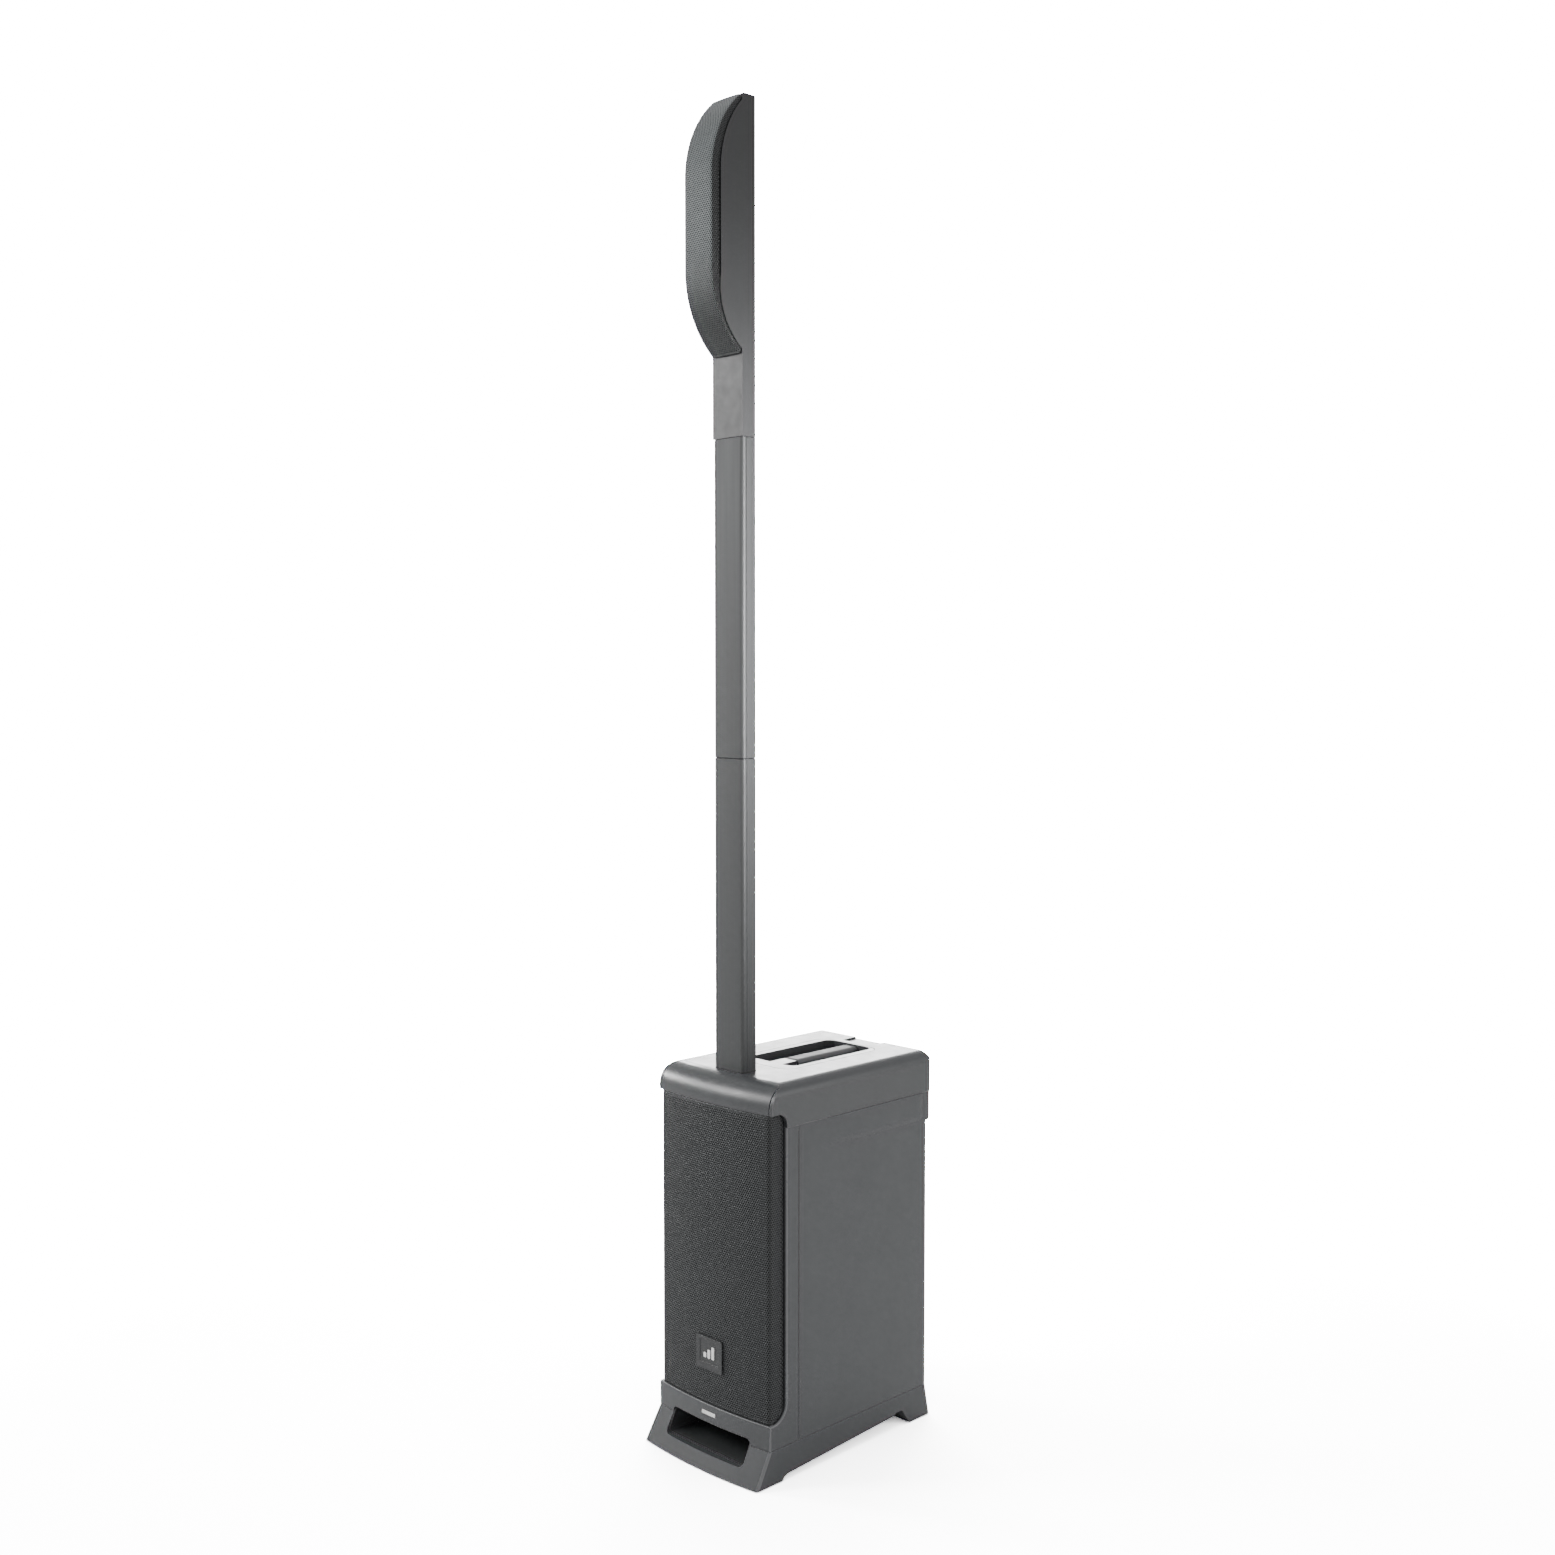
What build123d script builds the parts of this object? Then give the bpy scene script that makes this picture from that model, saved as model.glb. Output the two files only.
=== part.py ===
"""Column PA speaker: a subwoofer cabinet that carries a three-section column with a curved
line array.  Millimetres, +Z up, the front faces -Y.  The origin is the middle of the
footprint, on the floor."""

import os
from math import hypot

from build123d import *

os.makedirs("parts", exist_ok=True)

# ------------------------------------------------------------------ driving dimensions
overall_height = 2100.0
clearance = 0.3                  # air left between pieces that move apart

# cabinet
body_half_width = 127.0
body_wall = 9.0
body_front_y = -168.0            # front corners of the bezel
body_rear_y = 199.0
front_bow = 9.5                  # how far the front stands out at its middle
rear_corner_radius = 12.0
window_y = -133.0                # front edge of the pillars, behind the grille's returns
seam_y = -106.0                  # joint between the front frame and the cabinet shell

# levels of the cabinet
plinth_bottom_z = 1.5
plinth_top_z = 53.0
floor_top_z = 61.0
bezel_top_z = 92.0
band_bottom_z = 498.0            # the rear swells outwards from here
band_full_z = 511.0
shell_top_z = 545.0
window_top_z = 568.0
deck_z = 612.0

# foot
foot_half_width = 129.3
foot_front_y = -197.9
foot_rear_y = 207.4
pad_height = 5.0

# bass port
port_half_width = 88.0
port_low_z = 23.0
port_high_z = 63.0
port_rear_y = -60.0
port_wall = 2.5
port_radius = 8.0

# grille of the cabinet
grille_half_width = 123.0
grille_front_y = -165.0
grille_rear_y = -137.0
sheet = 1.5

# baffle and woofer
baffle_front_y = -140.0
baffle_thickness = 12.0
woofer_z = 330.0
woofer_radius = 111.0
woofer_hole_radius = 93.0
cone_radius = 82.0
coil_radius = 19.0
magnet_radius = 55.0

# cap and carrying grip
cap_half_width = 128.3
cap_front_y = -165.0
cap_rear_y = 207.4
cap_wall = 6.0
bullnose_radius = 38.0
groove_inner_x = 121.2           # fine groove between the rounded nose and each cheek
groove_width = 1.6
groove_depth = 2.5
pocket_half_width = 50.0
pocket_front_y = -42.0
pocket_rear_y = 147.0
pocket_floor_z = 566.0
grip_front_y = 6.0
grip_half_width = 16.0
core_half_width = 9.0
core_low_z = 590.0
core_high_z = 604.0

# column
column_width = 66.0
column_depth = 31.0
column_y = -118.5
column_wall = 3.0
column_radius = 6.0
column_seat_z = 605.6            # rim of the socket that carries the column
lower_joint_z = 1100.0
upper_joint_z = 1590.0
tongue_length = 52.0
tongue_root = 30.0

# array
array_half_width = 33.0
array_grille_half_width = 31.0
array_back_y = -103.0
driver_radius = 23.0
array_baffle_thickness = 3.0

# rear panel
panel_half_width = 95.0
panel_low_z = 121.0
panel_high_z = 479.0
panel_face_y = 190.0
panel_thickness = 3.0

column_bore_width = column_width - 2 * column_wall
column_bore_depth = column_depth - 2 * column_wall
column_front_y = column_y - column_depth / 2


# ------------------------------------------------------------------ shared outlines
def bowed_plan(half_width, corner_y, bow, rear_y, rear_radius=0.0):
    """Plan outline with straight sides and rear, its front bowed forward by bow."""
    with BuildSketch() as plan:
        with BuildLine():
            ThreePointArc((-half_width, corner_y), (0, corner_y - bow), (half_width, corner_y))
            Polyline((half_width, corner_y), (half_width, rear_y), (-half_width, rear_y),
                     (-half_width, corner_y))
        make_face()
        if rear_radius:
            fillet(plan.vertices().group_by(Axis.Y)[-1], rear_radius)
    return plan.sketch


def side_window(rear_y, low_z, high_z, low_radius, high_radius):
    """Side view of the space the grille fills, with rounded rear corners (Y across, Z up)."""
    front_y = -260.0
    with BuildSketch() as window:
        with BuildLine():
            Polyline((front_y, low_z), (rear_y, low_z), (rear_y, high_z), (front_y, high_z), (front_y, low_z))
        make_face()
        rear_corners = window.vertices().group_by(Axis.X)[-1].sort_by(Axis.Y)
        fillet(rear_corners[0], low_radius)
        rear_corners = window.vertices().group_by(Axis.X)[-1].sort_by(Axis.Y)
        fillet(rear_corners[-1], high_radius)
    return window.sketch


def array_housing_outline():
    """Side view of the array's housing: the column's section below, a D above."""
    with BuildSketch() as outline:
        with BuildLine():
            Polyline((array_back_y, upper_joint_z + clearance), (column_front_y, upper_joint_z + clearance),
                     (column_front_y, 1721))
            ThreePointArc((column_front_y, 1721), (-160, 1748), (-177, 1825))
            Line((-177, 1825), (-177, 1985))
            ThreePointArc((-177, 1985), (-163, 2044), (-134, 2088))
            Polyline((-134, 2088), (-130, overall_height), (array_back_y, overall_height),
                     (array_back_y, upper_joint_z + clearance))
        make_face()
    return outline.sketch


def array_grille_outline():
    """Side view of the array's bulging grille, closed well inside the housing."""
    with BuildSketch() as outline:
        with BuildLine():
            ThreePointArc((-138, 1713), (-184, 1777), (-195, 1840))
            Line((-195, 1840), (-195, 1975))
            ThreePointArc((-195, 1975), (-172, 2056), (-137, 2098))
            Polyline((-137, 2098), (-112, 2090), (-112, 1725), (-138, 1713))
        make_face()
    return outline.sketch


side_view = Plane.YZ             # local x runs along +Y, local y along +Z


# ------------------------------------------------------------------ plinth and feet
pad_places = [(105, -176), (-105, -176), (105, 184), (-105, 184)]

with BuildPart() as plinth:
    with BuildSketch(Plane.XY.offset(plinth_bottom_z)):
        add(bowed_plan(foot_half_width, foot_front_y, front_bow, foot_rear_y, rear_corner_radius))
    with BuildSketch(Plane.XY.offset(plinth_top_z)):
        add(bowed_plan(body_half_width, body_front_y, front_bow, body_rear_y, rear_corner_radius))
    loft()
    # long arch between the front and the rear foot
    with BuildSketch(side_view):
        with BuildLine():
            Polyline((-145, -1), (-139, 7), (-130, 9.5), (99, 22), (114, 23), (120, 27), (134, 27),
                     (153, -1), (-145, -1))
        make_face()
    extrude(amount=200, both=True, mode=Mode.SUBTRACT)
    # shallow arch across the rear foot
    with BuildSketch(Plane.XZ.offset(-240)):
        with BuildLine():
            Polyline((-86, 0), (-78, 10), (78, 10), (86, 0), (-86, 0))
        make_face()
    extrude(amount=100, mode=Mode.SUBTRACT)
    # tray above the arch
    with BuildSketch(side_view):
        with BuildLine():
            Polyline((-150, 15), (99, 26.5), (112, 32), (190, 32), (190, 54), (-150, 54), (-150, 15))
        make_face()
    extrude(amount=119, both=True, mode=Mode.SUBTRACT)
    # mouth of the bass port
    with BuildSketch(Plane.XZ.offset(120)):
        with Locations((0, (port_low_z + port_high_z) / 2)):
            RectangleRounded(2 * port_half_width, port_high_z - port_low_z, port_radius)
    extrude(amount=100, mode=Mode.SUBTRACT)
    # seats of the rubber pads
    with BuildSketch(Plane.XY):
        with Locations(*pad_places):
            RectangleRounded(30, 22, 6)
    extrude(amount=pad_height, mode=Mode.SUBTRACT)
plinth.part.label = "plinth"
export_step(plinth.part, "parts/plinth.step")

with BuildPart() as rubber_feet:
    with BuildSketch(Plane.XY):
        with Locations(*pad_places):
            RectangleRounded(30, 22, 6)
    extrude(amount=pad_height)
    chamfer(rubber_feet.edges().group_by(Axis.Z)[0], 1.0)
rubber_feet.part.label = "rubber_feet"
export_step(rubber_feet.part, "parts/rubber_feet.step")

with BuildPart() as port_duct:
    port_middle_z = (port_low_z + port_high_z) / 2
    duct_width = 2 * port_half_width
    duct_height = port_high_z - port_low_z
    mouth_y = -183.0
    with BuildSketch(Plane.XZ.offset(-port_rear_y)):
        with Locations((0, port_middle_z)):
            RectangleRounded(duct_width, duct_height, port_radius)
            RectangleRounded(duct_width - 2 * port_wall, duct_height - 2 * port_wall, port_radius - port_wall,
                             mode=Mode.SUBTRACT)
    extrude(amount=port_rear_y - mouth_y)
    # the mouth follows the slope of the front
    with BuildSketch(side_view):
        with BuildLine():
            Polyline((-198, 20), (-188, 20), (-166, 66), (-198, 66), (-198, 20))
        make_face()
    extrude(amount=120, both=True, mode=Mode.SUBTRACT)
port_duct.part.label = "port_duct"
export_step(port_duct.part, "parts/port_duct.step")

# ------------------------------------------------------------------ front frame and shell
with BuildPart() as front_frame:
    with BuildSketch(Plane.XY.offset(plinth_top_z)):
        add(bowed_plan(body_half_width, body_front_y, front_bow, seam_y))
    extrude(amount=shell_top_z - plinth_top_z)
    with BuildSketch(side_view):
        add(side_window(window_y, bezel_top_z, shell_top_z + 60, 28, 18))
    extrude(amount=200, both=True, mode=Mode.SUBTRACT)
    with BuildSketch(Plane.XY.offset(floor_top_z)):
        with Locations((0, (seam_y - 158) / 2)):
            Rectangle(2 * (body_half_width - body_wall), seam_y + 158)
    extrude(amount=600, mode=Mode.SUBTRACT)
    with BuildSketch(Plane.XY.offset(plinth_top_z)):
        with Locations((0, (seam_y - 158) / 2)):
            Rectangle(2 * port_half_width, seam_y + 158)
    extrude(amount=20, mode=Mode.SUBTRACT)
    with BuildSketch(Plane.XZ.offset(120)):
        with Locations((0, (port_low_z + port_high_z) / 2)):
            RectangleRounded(2 * port_half_width, port_high_z - port_low_z, port_radius)
    extrude(amount=100, mode=Mode.SUBTRACT)
    # fine joint line against the shell
    with Locations((body_half_width, seam_y, 297), (-body_half_width, seam_y, 297)):
        Box(1.6, 1.0, 480, mode=Mode.SUBTRACT)
front_frame.part.label = "front_frame"
export_step(front_frame.part, "parts/front_frame.step")

with BuildPart() as cabinet_shell:
    with BuildSketch(Plane.XY.offset(plinth_top_z)) as shell_plan:
        with Locations((0, (seam_y + body_rear_y) / 2)):
            Rectangle(2 * body_half_width, body_rear_y - seam_y)
        fillet(shell_plan.vertices().group_by(Axis.Y)[-1], rear_corner_radius)
    extrude(amount=shell_top_z - plinth_top_z)
    # the rear swells out to meet the cap
    with BuildPart(mode=Mode.PRIVATE) as rear_swell:
        with BuildSketch(side_view):
            with BuildLine():
                Polyline((body_rear_y - 14, band_bottom_z), (body_rear_y, band_bottom_z),
                         (cap_rear_y, band_full_z), (cap_rear_y, shell_top_z),
                         (body_rear_y - 14, shell_top_z), (body_rear_y - 14, band_bottom_z))
            make_face()
        extrude(amount=body_half_width, both=True)
        with BuildSketch(Plane.XY.offset(band_bottom_z)) as swell_plan:
            with Locations((0, cap_rear_y - 100)):
                Rectangle(2 * body_half_width, 200)
            fillet(swell_plan.vertices().group_by(Axis.Y)[-1], rear_corner_radius)
        extrude(amount=shell_top_z - band_bottom_z, mode=Mode.INTERSECT)
    add(rear_swell)
    with BuildSketch(Plane.XY.offset(floor_top_z)):
        with Locations((0, (seam_y + 190) / 2)):
            Rectangle(2 * (body_half_width - body_wall), 190 - seam_y + 1)
    extrude(amount=538 - floor_top_z, mode=Mode.SUBTRACT)
    with Locations((0, seam_y, (floor_top_z + 538) / 2)):
        Box(2 * (body_half_width - body_wall), 4, 538 - floor_top_z, mode=Mode.SUBTRACT)
    # ways through the floor, the top and the rear wall
    with Locations((0, (seam_y - 24) / 2, plinth_top_z)):
        Box(2 * port_half_width, -16 - seam_y, 30, mode=Mode.SUBTRACT)
    with Locations((0, 20, shell_top_z)):
        Box(140, 270, 30, mode=Mode.SUBTRACT)
    with BuildSketch(Plane.XZ.offset(-220)):
        with Locations((0, (panel_low_z + panel_high_z) / 2)):
            RectangleRounded(2 * panel_half_width - 10, panel_high_z - panel_low_z - 10, 8)
    extrude(amount=40, mode=Mode.SUBTRACT)
cabinet_shell.part.label = "cabinet_shell"
export_step(cabinet_shell.part, "parts/cabinet_shell.step")

# ------------------------------------------------------------------ top cap
with BuildPart() as top_cap:
    with BuildSketch(Plane.XY.offset(shell_top_z)):
        add(bowed_plan(cap_half_width, cap_front_y, front_bow, cap_rear_y, rear_corner_radius))
    extrude(amount=deck_z - shell_top_z)
    top_edges = top_cap.edges().group_by(Axis.Z)[-1]
    fillet(top_edges.sort_by(Axis.Y)[0], bullnose_radius)
    with BuildSketch(side_view):
        add(side_window(window_y, bezel_top_z, window_top_z, 28, 18))
    extrude(amount=200, both=True, mode=Mode.SUBTRACT)
    # rounded shoulders along the sides and a bevel across the rear
    with BuildSketch(Plane.XZ.offset(300)):
        with BuildLine():
            Polyline((cap_half_width - 18, deck_z), (cap_half_width + 1, deck_z),
                     (cap_half_width + 1, deck_z - 30), (cap_half_width, deck_z - 20))
            ThreePointArc((cap_half_width, deck_z - 20), (cap_half_width - 5, deck_z - 6.5),
                          (cap_half_width - 18, deck_z))
        make_face()
        mirror(about=Plane.YZ)
    extrude(amount=-600, mode=Mode.SUBTRACT)
    with BuildSketch(side_view):
        with BuildLine():
            Polyline((cap_rear_y - 14, deck_z + 1), (cap_rear_y - 3, 596), (cap_rear_y, 560),
                     (cap_rear_y + 1, 560), (cap_rear_y + 1, deck_z + 1), (cap_rear_y - 14, deck_z + 1))
        make_face()
    extrude(amount=200, both=True, mode=Mode.SUBTRACT)
    # hollow underside, left solid round the grip pocket
    with Locations((0, 30, shell_top_z)):
        Box(236, 324, 30, mode=Mode.SUBTRACT)
    for side in (-1, 1):
        with Locations((side * 88, 30, 575)):
            Box(60, 324, 2 * (deck_z - cap_wall - 575), mode=Mode.SUBTRACT)
    with Locations((0, 172, 580)):
        Box(120, 40, 2 * (deck_z - cap_wall - 580), mode=Mode.SUBTRACT)
    # chamber of the column socket and the hole above it
    with Locations((0, column_y, (540 + column_seat_z) / 2)):
        Box(88, 54, column_seat_z - 540, mode=Mode.SUBTRACT)
    with BuildSketch(Plane.XY.offset(column_seat_z - 1)):
        with Locations((0, column_y)):
            RectangleRounded(column_width + 0.8, column_depth + 0.8, column_radius)
    extrude(amount=20, mode=Mode.SUBTRACT)
    # grip pocket with the core of the grip left across it
    with BuildSketch(Plane.XY.offset(pocket_floor_z)):
        with Locations((0, (pocket_front_y + pocket_rear_y) / 2)):
            RectangleRounded(2 * pocket_half_width, pocket_rear_y - pocket_front_y, 14)
    extrude(amount=60, mode=Mode.SUBTRACT)
    with Locations((0, (pocket_front_y + pocket_rear_y) / 2, (core_low_z + core_high_z) / 2)):
        Box(2 * core_half_width, pocket_rear_y - pocket_front_y, core_high_z - core_low_z)
    with Locations((0, (pocket_front_y + grip_front_y - 2) / 2, (core_low_z + 608) / 2)):
        Box(2 * grip_half_width - 4, grip_front_y - 2 - pocket_front_y, 608 - core_low_z)
    # shallow panel round the pocket, and the notch at the rear edge
    with BuildSketch(Plane.XY.offset(deck_z)):
        with Locations((0, 41)):
            RectangleRounded(128, 218, 22)
            RectangleRounded(125, 215, 20.5, mode=Mode.SUBTRACT)
    extrude(amount=-1.2, mode=Mode.SUBTRACT)
    with BuildSketch(Plane.XY.offset(deck_z)):
        with BuildLine():
            Polyline((-30, 160), (30, 160), (34, 215), (-34, 215), (-30, 160))
        make_face()
    extrude(amount=-3.0, mode=Mode.SUBTRACT)
    # groove between the rounded nose and each cheek
    groove_low = (cap_front_y + groove_depth, deck_z - bullnose_radius)
    groove_high = (cap_front_y + bullnose_radius, deck_z - groove_depth)
    for groove_x in (groove_inner_x, -groove_inner_x - groove_width):
        with BuildSketch(Plane.YZ.offset(groove_x)):
            with BuildLine():
                Polyline((-185, 560), (groove_low[0], 560), groove_low)
                RadiusArc(groove_low, groove_high, bullnose_radius - groove_depth)
                Polyline(groove_high, (-100, deck_z - 1), (-100, 620), (-185, 620), (-185, 560))
            make_face()
        extrude(amount=groove_width, mode=Mode.SUBTRACT)
top_cap.part.label = "top_cap"
export_step(top_cap.part, "parts/top_cap.step")

with BuildPart() as handle_grip:
    grip_length = pocket_rear_y - grip_front_y
    with BuildSketch(Plane.XZ.offset(-pocket_rear_y)):
        with Locations((0, (core_low_z + core_high_z) / 2 + 1)):
            RectangleRounded(2 * grip_half_width, core_high_z - core_low_z + 9, 8)
        with Locations((0, (core_low_z + core_high_z) / 2)):
            Rectangle(2 * core_half_width, core_high_z - core_low_z, mode=Mode.SUBTRACT)
    extrude(amount=grip_length)
    front_edges = handle_grip.edges().group_by(Axis.Y)[0]
    fillet(front_edges.group_by(Axis.Z)[-1], 2.0)
handle_grip.part.label = "handle_grip"
export_step(handle_grip.part, "parts/handle_grip.step")

with BuildPart() as column_socket:
    with BuildSketch(Plane.XY.offset(539)):
        with Locations((0, column_y)):
            RectangleRounded(80, 46, 4)
    extrude(amount=column_seat_z - 539)
    with BuildSketch(Plane.XY.offset(column_seat_z)):
        with Locations((0, column_y)):
            RectangleRounded(column_bore_width, column_bore_depth, column_radius - column_wall)
    extrude(amount=-60, mode=Mode.SUBTRACT)
column_socket.part.label = "column_socket"
export_step(column_socket.part, "parts/column_socket.step")

with BuildPart() as socket_contacts:
    with BuildSketch(Plane.XY.offset(column_seat_z - 60)):
        with Locations((0, column_y)):
            with GridLocations(10, 10, 4, 1):
                Circle(1.5)
    extrude(amount=6)
socket_contacts.part.label = "socket_contacts"
export_step(socket_contacts.part, "parts/socket_contacts.step")

# ------------------------------------------------------------------ grille, foam and badge
with BuildPart() as sub_grille:
    with BuildSketch(Plane.XY.offset(bezel_top_z + 1)):
        add(bowed_plan(grille_half_width, grille_front_y, front_bow, grille_rear_y))
        add(bowed_plan(grille_half_width - sheet, grille_front_y + sheet, front_bow, grille_rear_y + 5),
            mode=Mode.SUBTRACT)
    extrude(amount=window_top_z - bezel_top_z - 2)
    with BuildSketch(side_view):
        Rectangle(900, 2000)
        add(side_window(grille_rear_y, bezel_top_z + 1, window_top_z - 1, 24, 14), mode=Mode.SUBTRACT)
    extrude(amount=200, both=True, mode=Mode.SUBTRACT)
sub_grille.part.label = "sub_grille"
export_step(sub_grille.part, "parts/sub_grille.step")

with BuildPart() as grille_foam:
    with BuildSketch(Plane.XY.offset(98)):
        add(bowed_plan(112, -160, front_bow - 2, -120))
        add(bowed_plan(112, -154, front_bow - 2, -110), mode=Mode.SUBTRACT)
        with Locations((0, -120)):
            Rectangle(300, 64, mode=Mode.SUBTRACT)
    extrude(amount=440)
grille_foam.part.label = "grille_foam"
export_step(grille_foam.part, "parts/grille_foam.step")

badge_back_y = grille_front_y - front_bow - 0.1
badge_z = 172.0
with BuildPart() as badge_plate:
    with BuildSketch(Plane.XZ.offset(-badge_back_y)):
        with Locations((0, badge_z)):
            RectangleRounded(58, 52, 3)
    extrude(amount=2.4)
    with BuildSketch(Plane.XZ.offset(-badge_back_y + 2.4)):
        with Locations((0, badge_z + 3)):
            RectangleRounded(42, 36, 2)
    extrude(amount=-0.9, mode=Mode.SUBTRACT)
badge_plate.part.label = "badge_plate"
export_step(badge_plate.part, "parts/badge_plate.step")

with BuildPart() as badge_emblem:
    # three rising level bars
    bar_heights = (8, 14, 20)
    with BuildSketch(Plane.XZ.offset(-badge_back_y + 1.5)):
        for place, bar in zip((-9, 0, 9), bar_heights):
            with Locations((place, badge_z - 7 + bar / 2)):
                RectangleRounded(6, bar, 1.5)
    extrude(amount=1.4)
badge_emblem.part.label = "badge_emblem"
export_step(badge_emblem.part, "parts/badge_emblem.step")

with BuildPart() as name_tag:
    with BuildSketch(Plane.XZ.offset(-(body_front_y - front_bow))):
        with Locations((0, 78)):
            RectangleRounded(30, 6, 1.2)
    extrude(amount=0.9)
name_tag.part.label = "name_tag"
export_step(name_tag.part, "parts/name_tag.step")

# ------------------------------------------------------------------ baffle and woofer
woofer_plane = Plane(origin=(0, baffle_front_y, woofer_z), x_dir=(1, 0, 0), z_dir=(0, -1, 0))
woofer_profile = Plane(origin=(0, baffle_front_y, woofer_z), x_dir=(1, 0, 0), z_dir=(0, 0, -1))
woofer_axis = Axis((0, baffle_front_y, woofer_z), (0, -1, 0))
# in the profile plane, local x is the radius and local y the distance in front of the baffle
woofer_bolt_radius = 103.0
baffle_bolts = [(x, z) for x in (-111, 111) for z in (100, 205, 455, 525)]

with BuildPart() as front_baffle:
    with BuildSketch(Plane.XZ.offset(-baffle_front_y)):
        with Locations((0, (64 + 537.5) / 2)):
            Rectangle(2 * (body_half_width - body_wall), 537.5 - 64)
    extrude(amount=-baffle_thickness)
    with BuildSketch(woofer_plane):
        Circle(woofer_hole_radius)
    extrude(amount=-40, mode=Mode.SUBTRACT)
    with BuildSketch(Plane.XZ.offset(-baffle_front_y)):
        with Locations(*baffle_bolts):
            Circle(2.1)
    extrude(amount=-baffle_thickness, mode=Mode.SUBTRACT)
    with BuildSketch(woofer_plane):
        with PolarLocations(woofer_bolt_radius, 8, start_angle=22.5):
            Circle(2.1)
    extrude(amount=-baffle_thickness, mode=Mode.SUBTRACT)
front_baffle.part.label = "front_baffle"
export_step(front_baffle.part, "parts/front_baffle.step")

with BuildPart() as baffle_screws:
    with BuildSketch(Plane.XZ.offset(-baffle_front_y)):
        with Locations(*baffle_bolts):
            Circle(4.5)
    extrude(amount=2.5)
    with BuildSketch(Plane.XZ.offset(-baffle_front_y)):
        with Locations(*baffle_bolts):
            Circle(2.1)
    extrude(amount=-baffle_thickness)
baffle_screws.part.label = "baffle_screws"
export_step(baffle_screws.part, "parts/baffle_screws.step")

flange_front = 4.0
with BuildPart() as woofer_basket:
    with BuildSketch(woofer_profile):
        with BuildLine():
            Polyline((92, 0), (woofer_radius, 0), (woofer_radius, flange_front), (90, flange_front),
                     (90, -12), (60, -62), (21.5, -62), (21.5, -66), (62, -66), (92, -14), (92, 0))
        make_face()
    revolve(axis=woofer_axis)
    with BuildSketch(woofer_plane.offset(-62)):
        with PolarLocations(0, 6):
            with BuildLine():
                Polyline((56, -16), (95, -32), (95, 32), (56, 16), (56, -16))
            make_face()
    extrude(amount=44, mode=Mode.SUBTRACT)
    with BuildSketch(woofer_plane):
        with PolarLocations(woofer_bolt_radius, 8, start_angle=22.5):
            Circle(2.1)
    extrude(amount=flange_front, mode=Mode.SUBTRACT)
    # ledge for the spider
    with BuildSketch(woofer_profile):
        with Locations((55.5, -55)):
            Rectangle(6, 3)
        with Locations((57, -59)):
            Rectangle(3, 6)
    revolve(axis=woofer_axis)
woofer_basket.part.label = "woofer_basket"
export_step(woofer_basket.part, "parts/woofer_basket.step")

with BuildPart() as woofer_pole_plate:
    with BuildSketch(woofer_profile):
        with BuildLine():
            Polyline((21.5, -72), (50, -72), (50, -66), (21.5, -66), (21.5, -72))
        make_face()
        with BuildLine():
            Polyline((0, -96), (50, -96), (50, -90), (17.3, -90), (17.3, -66), (0, -66), (0, -96))
        make_face()
    revolve(axis=woofer_axis)
woofer_pole_plate.part.label = "woofer_pole_plates"
export_step(woofer_pole_plate.part, "parts/woofer_pole_plates.step")

with BuildPart() as woofer_magnet:
    with BuildSketch(woofer_profile):
        with Locations(((30 + magnet_radius) / 2, -81)):
            Rectangle(magnet_radius - 30, 18)
    revolve(axis=woofer_axis)
woofer_magnet.part.label = "woofer_magnet"
export_step(woofer_magnet.part, "parts/woofer_magnet.step")

with BuildPart() as woofer_cone:
    with BuildSketch(woofer_profile):
        with BuildLine():
            Polyline((coil_radius + 0.8, -46), (cone_radius, -6), (cone_radius, -4.4),
                     (coil_radius + 0.8, -44.2), (coil_radius + 0.8, -46))
        make_face()
    revolve(axis=woofer_axis)
woofer_cone.part.label = "woofer_cone"
export_step(woofer_cone.part, "parts/woofer_cone.step")

with BuildPart() as woofer_voice_coil:
    with BuildSketch(woofer_profile):
        with Locations((coil_radius + 0.3, -63.5)):
            Rectangle(1.0, 39)
    revolve(axis=woofer_axis)
woofer_voice_coil.part.label = "woofer_voice_coil"
export_step(woofer_voice_coil.part, "parts/woofer_voice_coil.step")

dome_radius = 42.4
dome_rise = 14.6
dome_centre = -64.0
with BuildPart() as woofer_dust_cap:
    with BuildSketch(woofer_profile):
        with Locations((0, dome_centre)):
            Circle(dome_radius)
            Circle(dome_radius - 1.4, mode=Mode.SUBTRACT)
        # keep the cap of the ring that lies in front of the cone, on one side of the axis
        with Locations((50, dome_centre + dome_radius)):
            Rectangle(100, 2 * dome_rise, mode=Mode.INTERSECT)
    revolve(axis=woofer_axis)
woofer_dust_cap.part.label = "woofer_dust_cap"
export_step(woofer_dust_cap.part, "parts/woofer_dust_cap.step")

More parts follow.
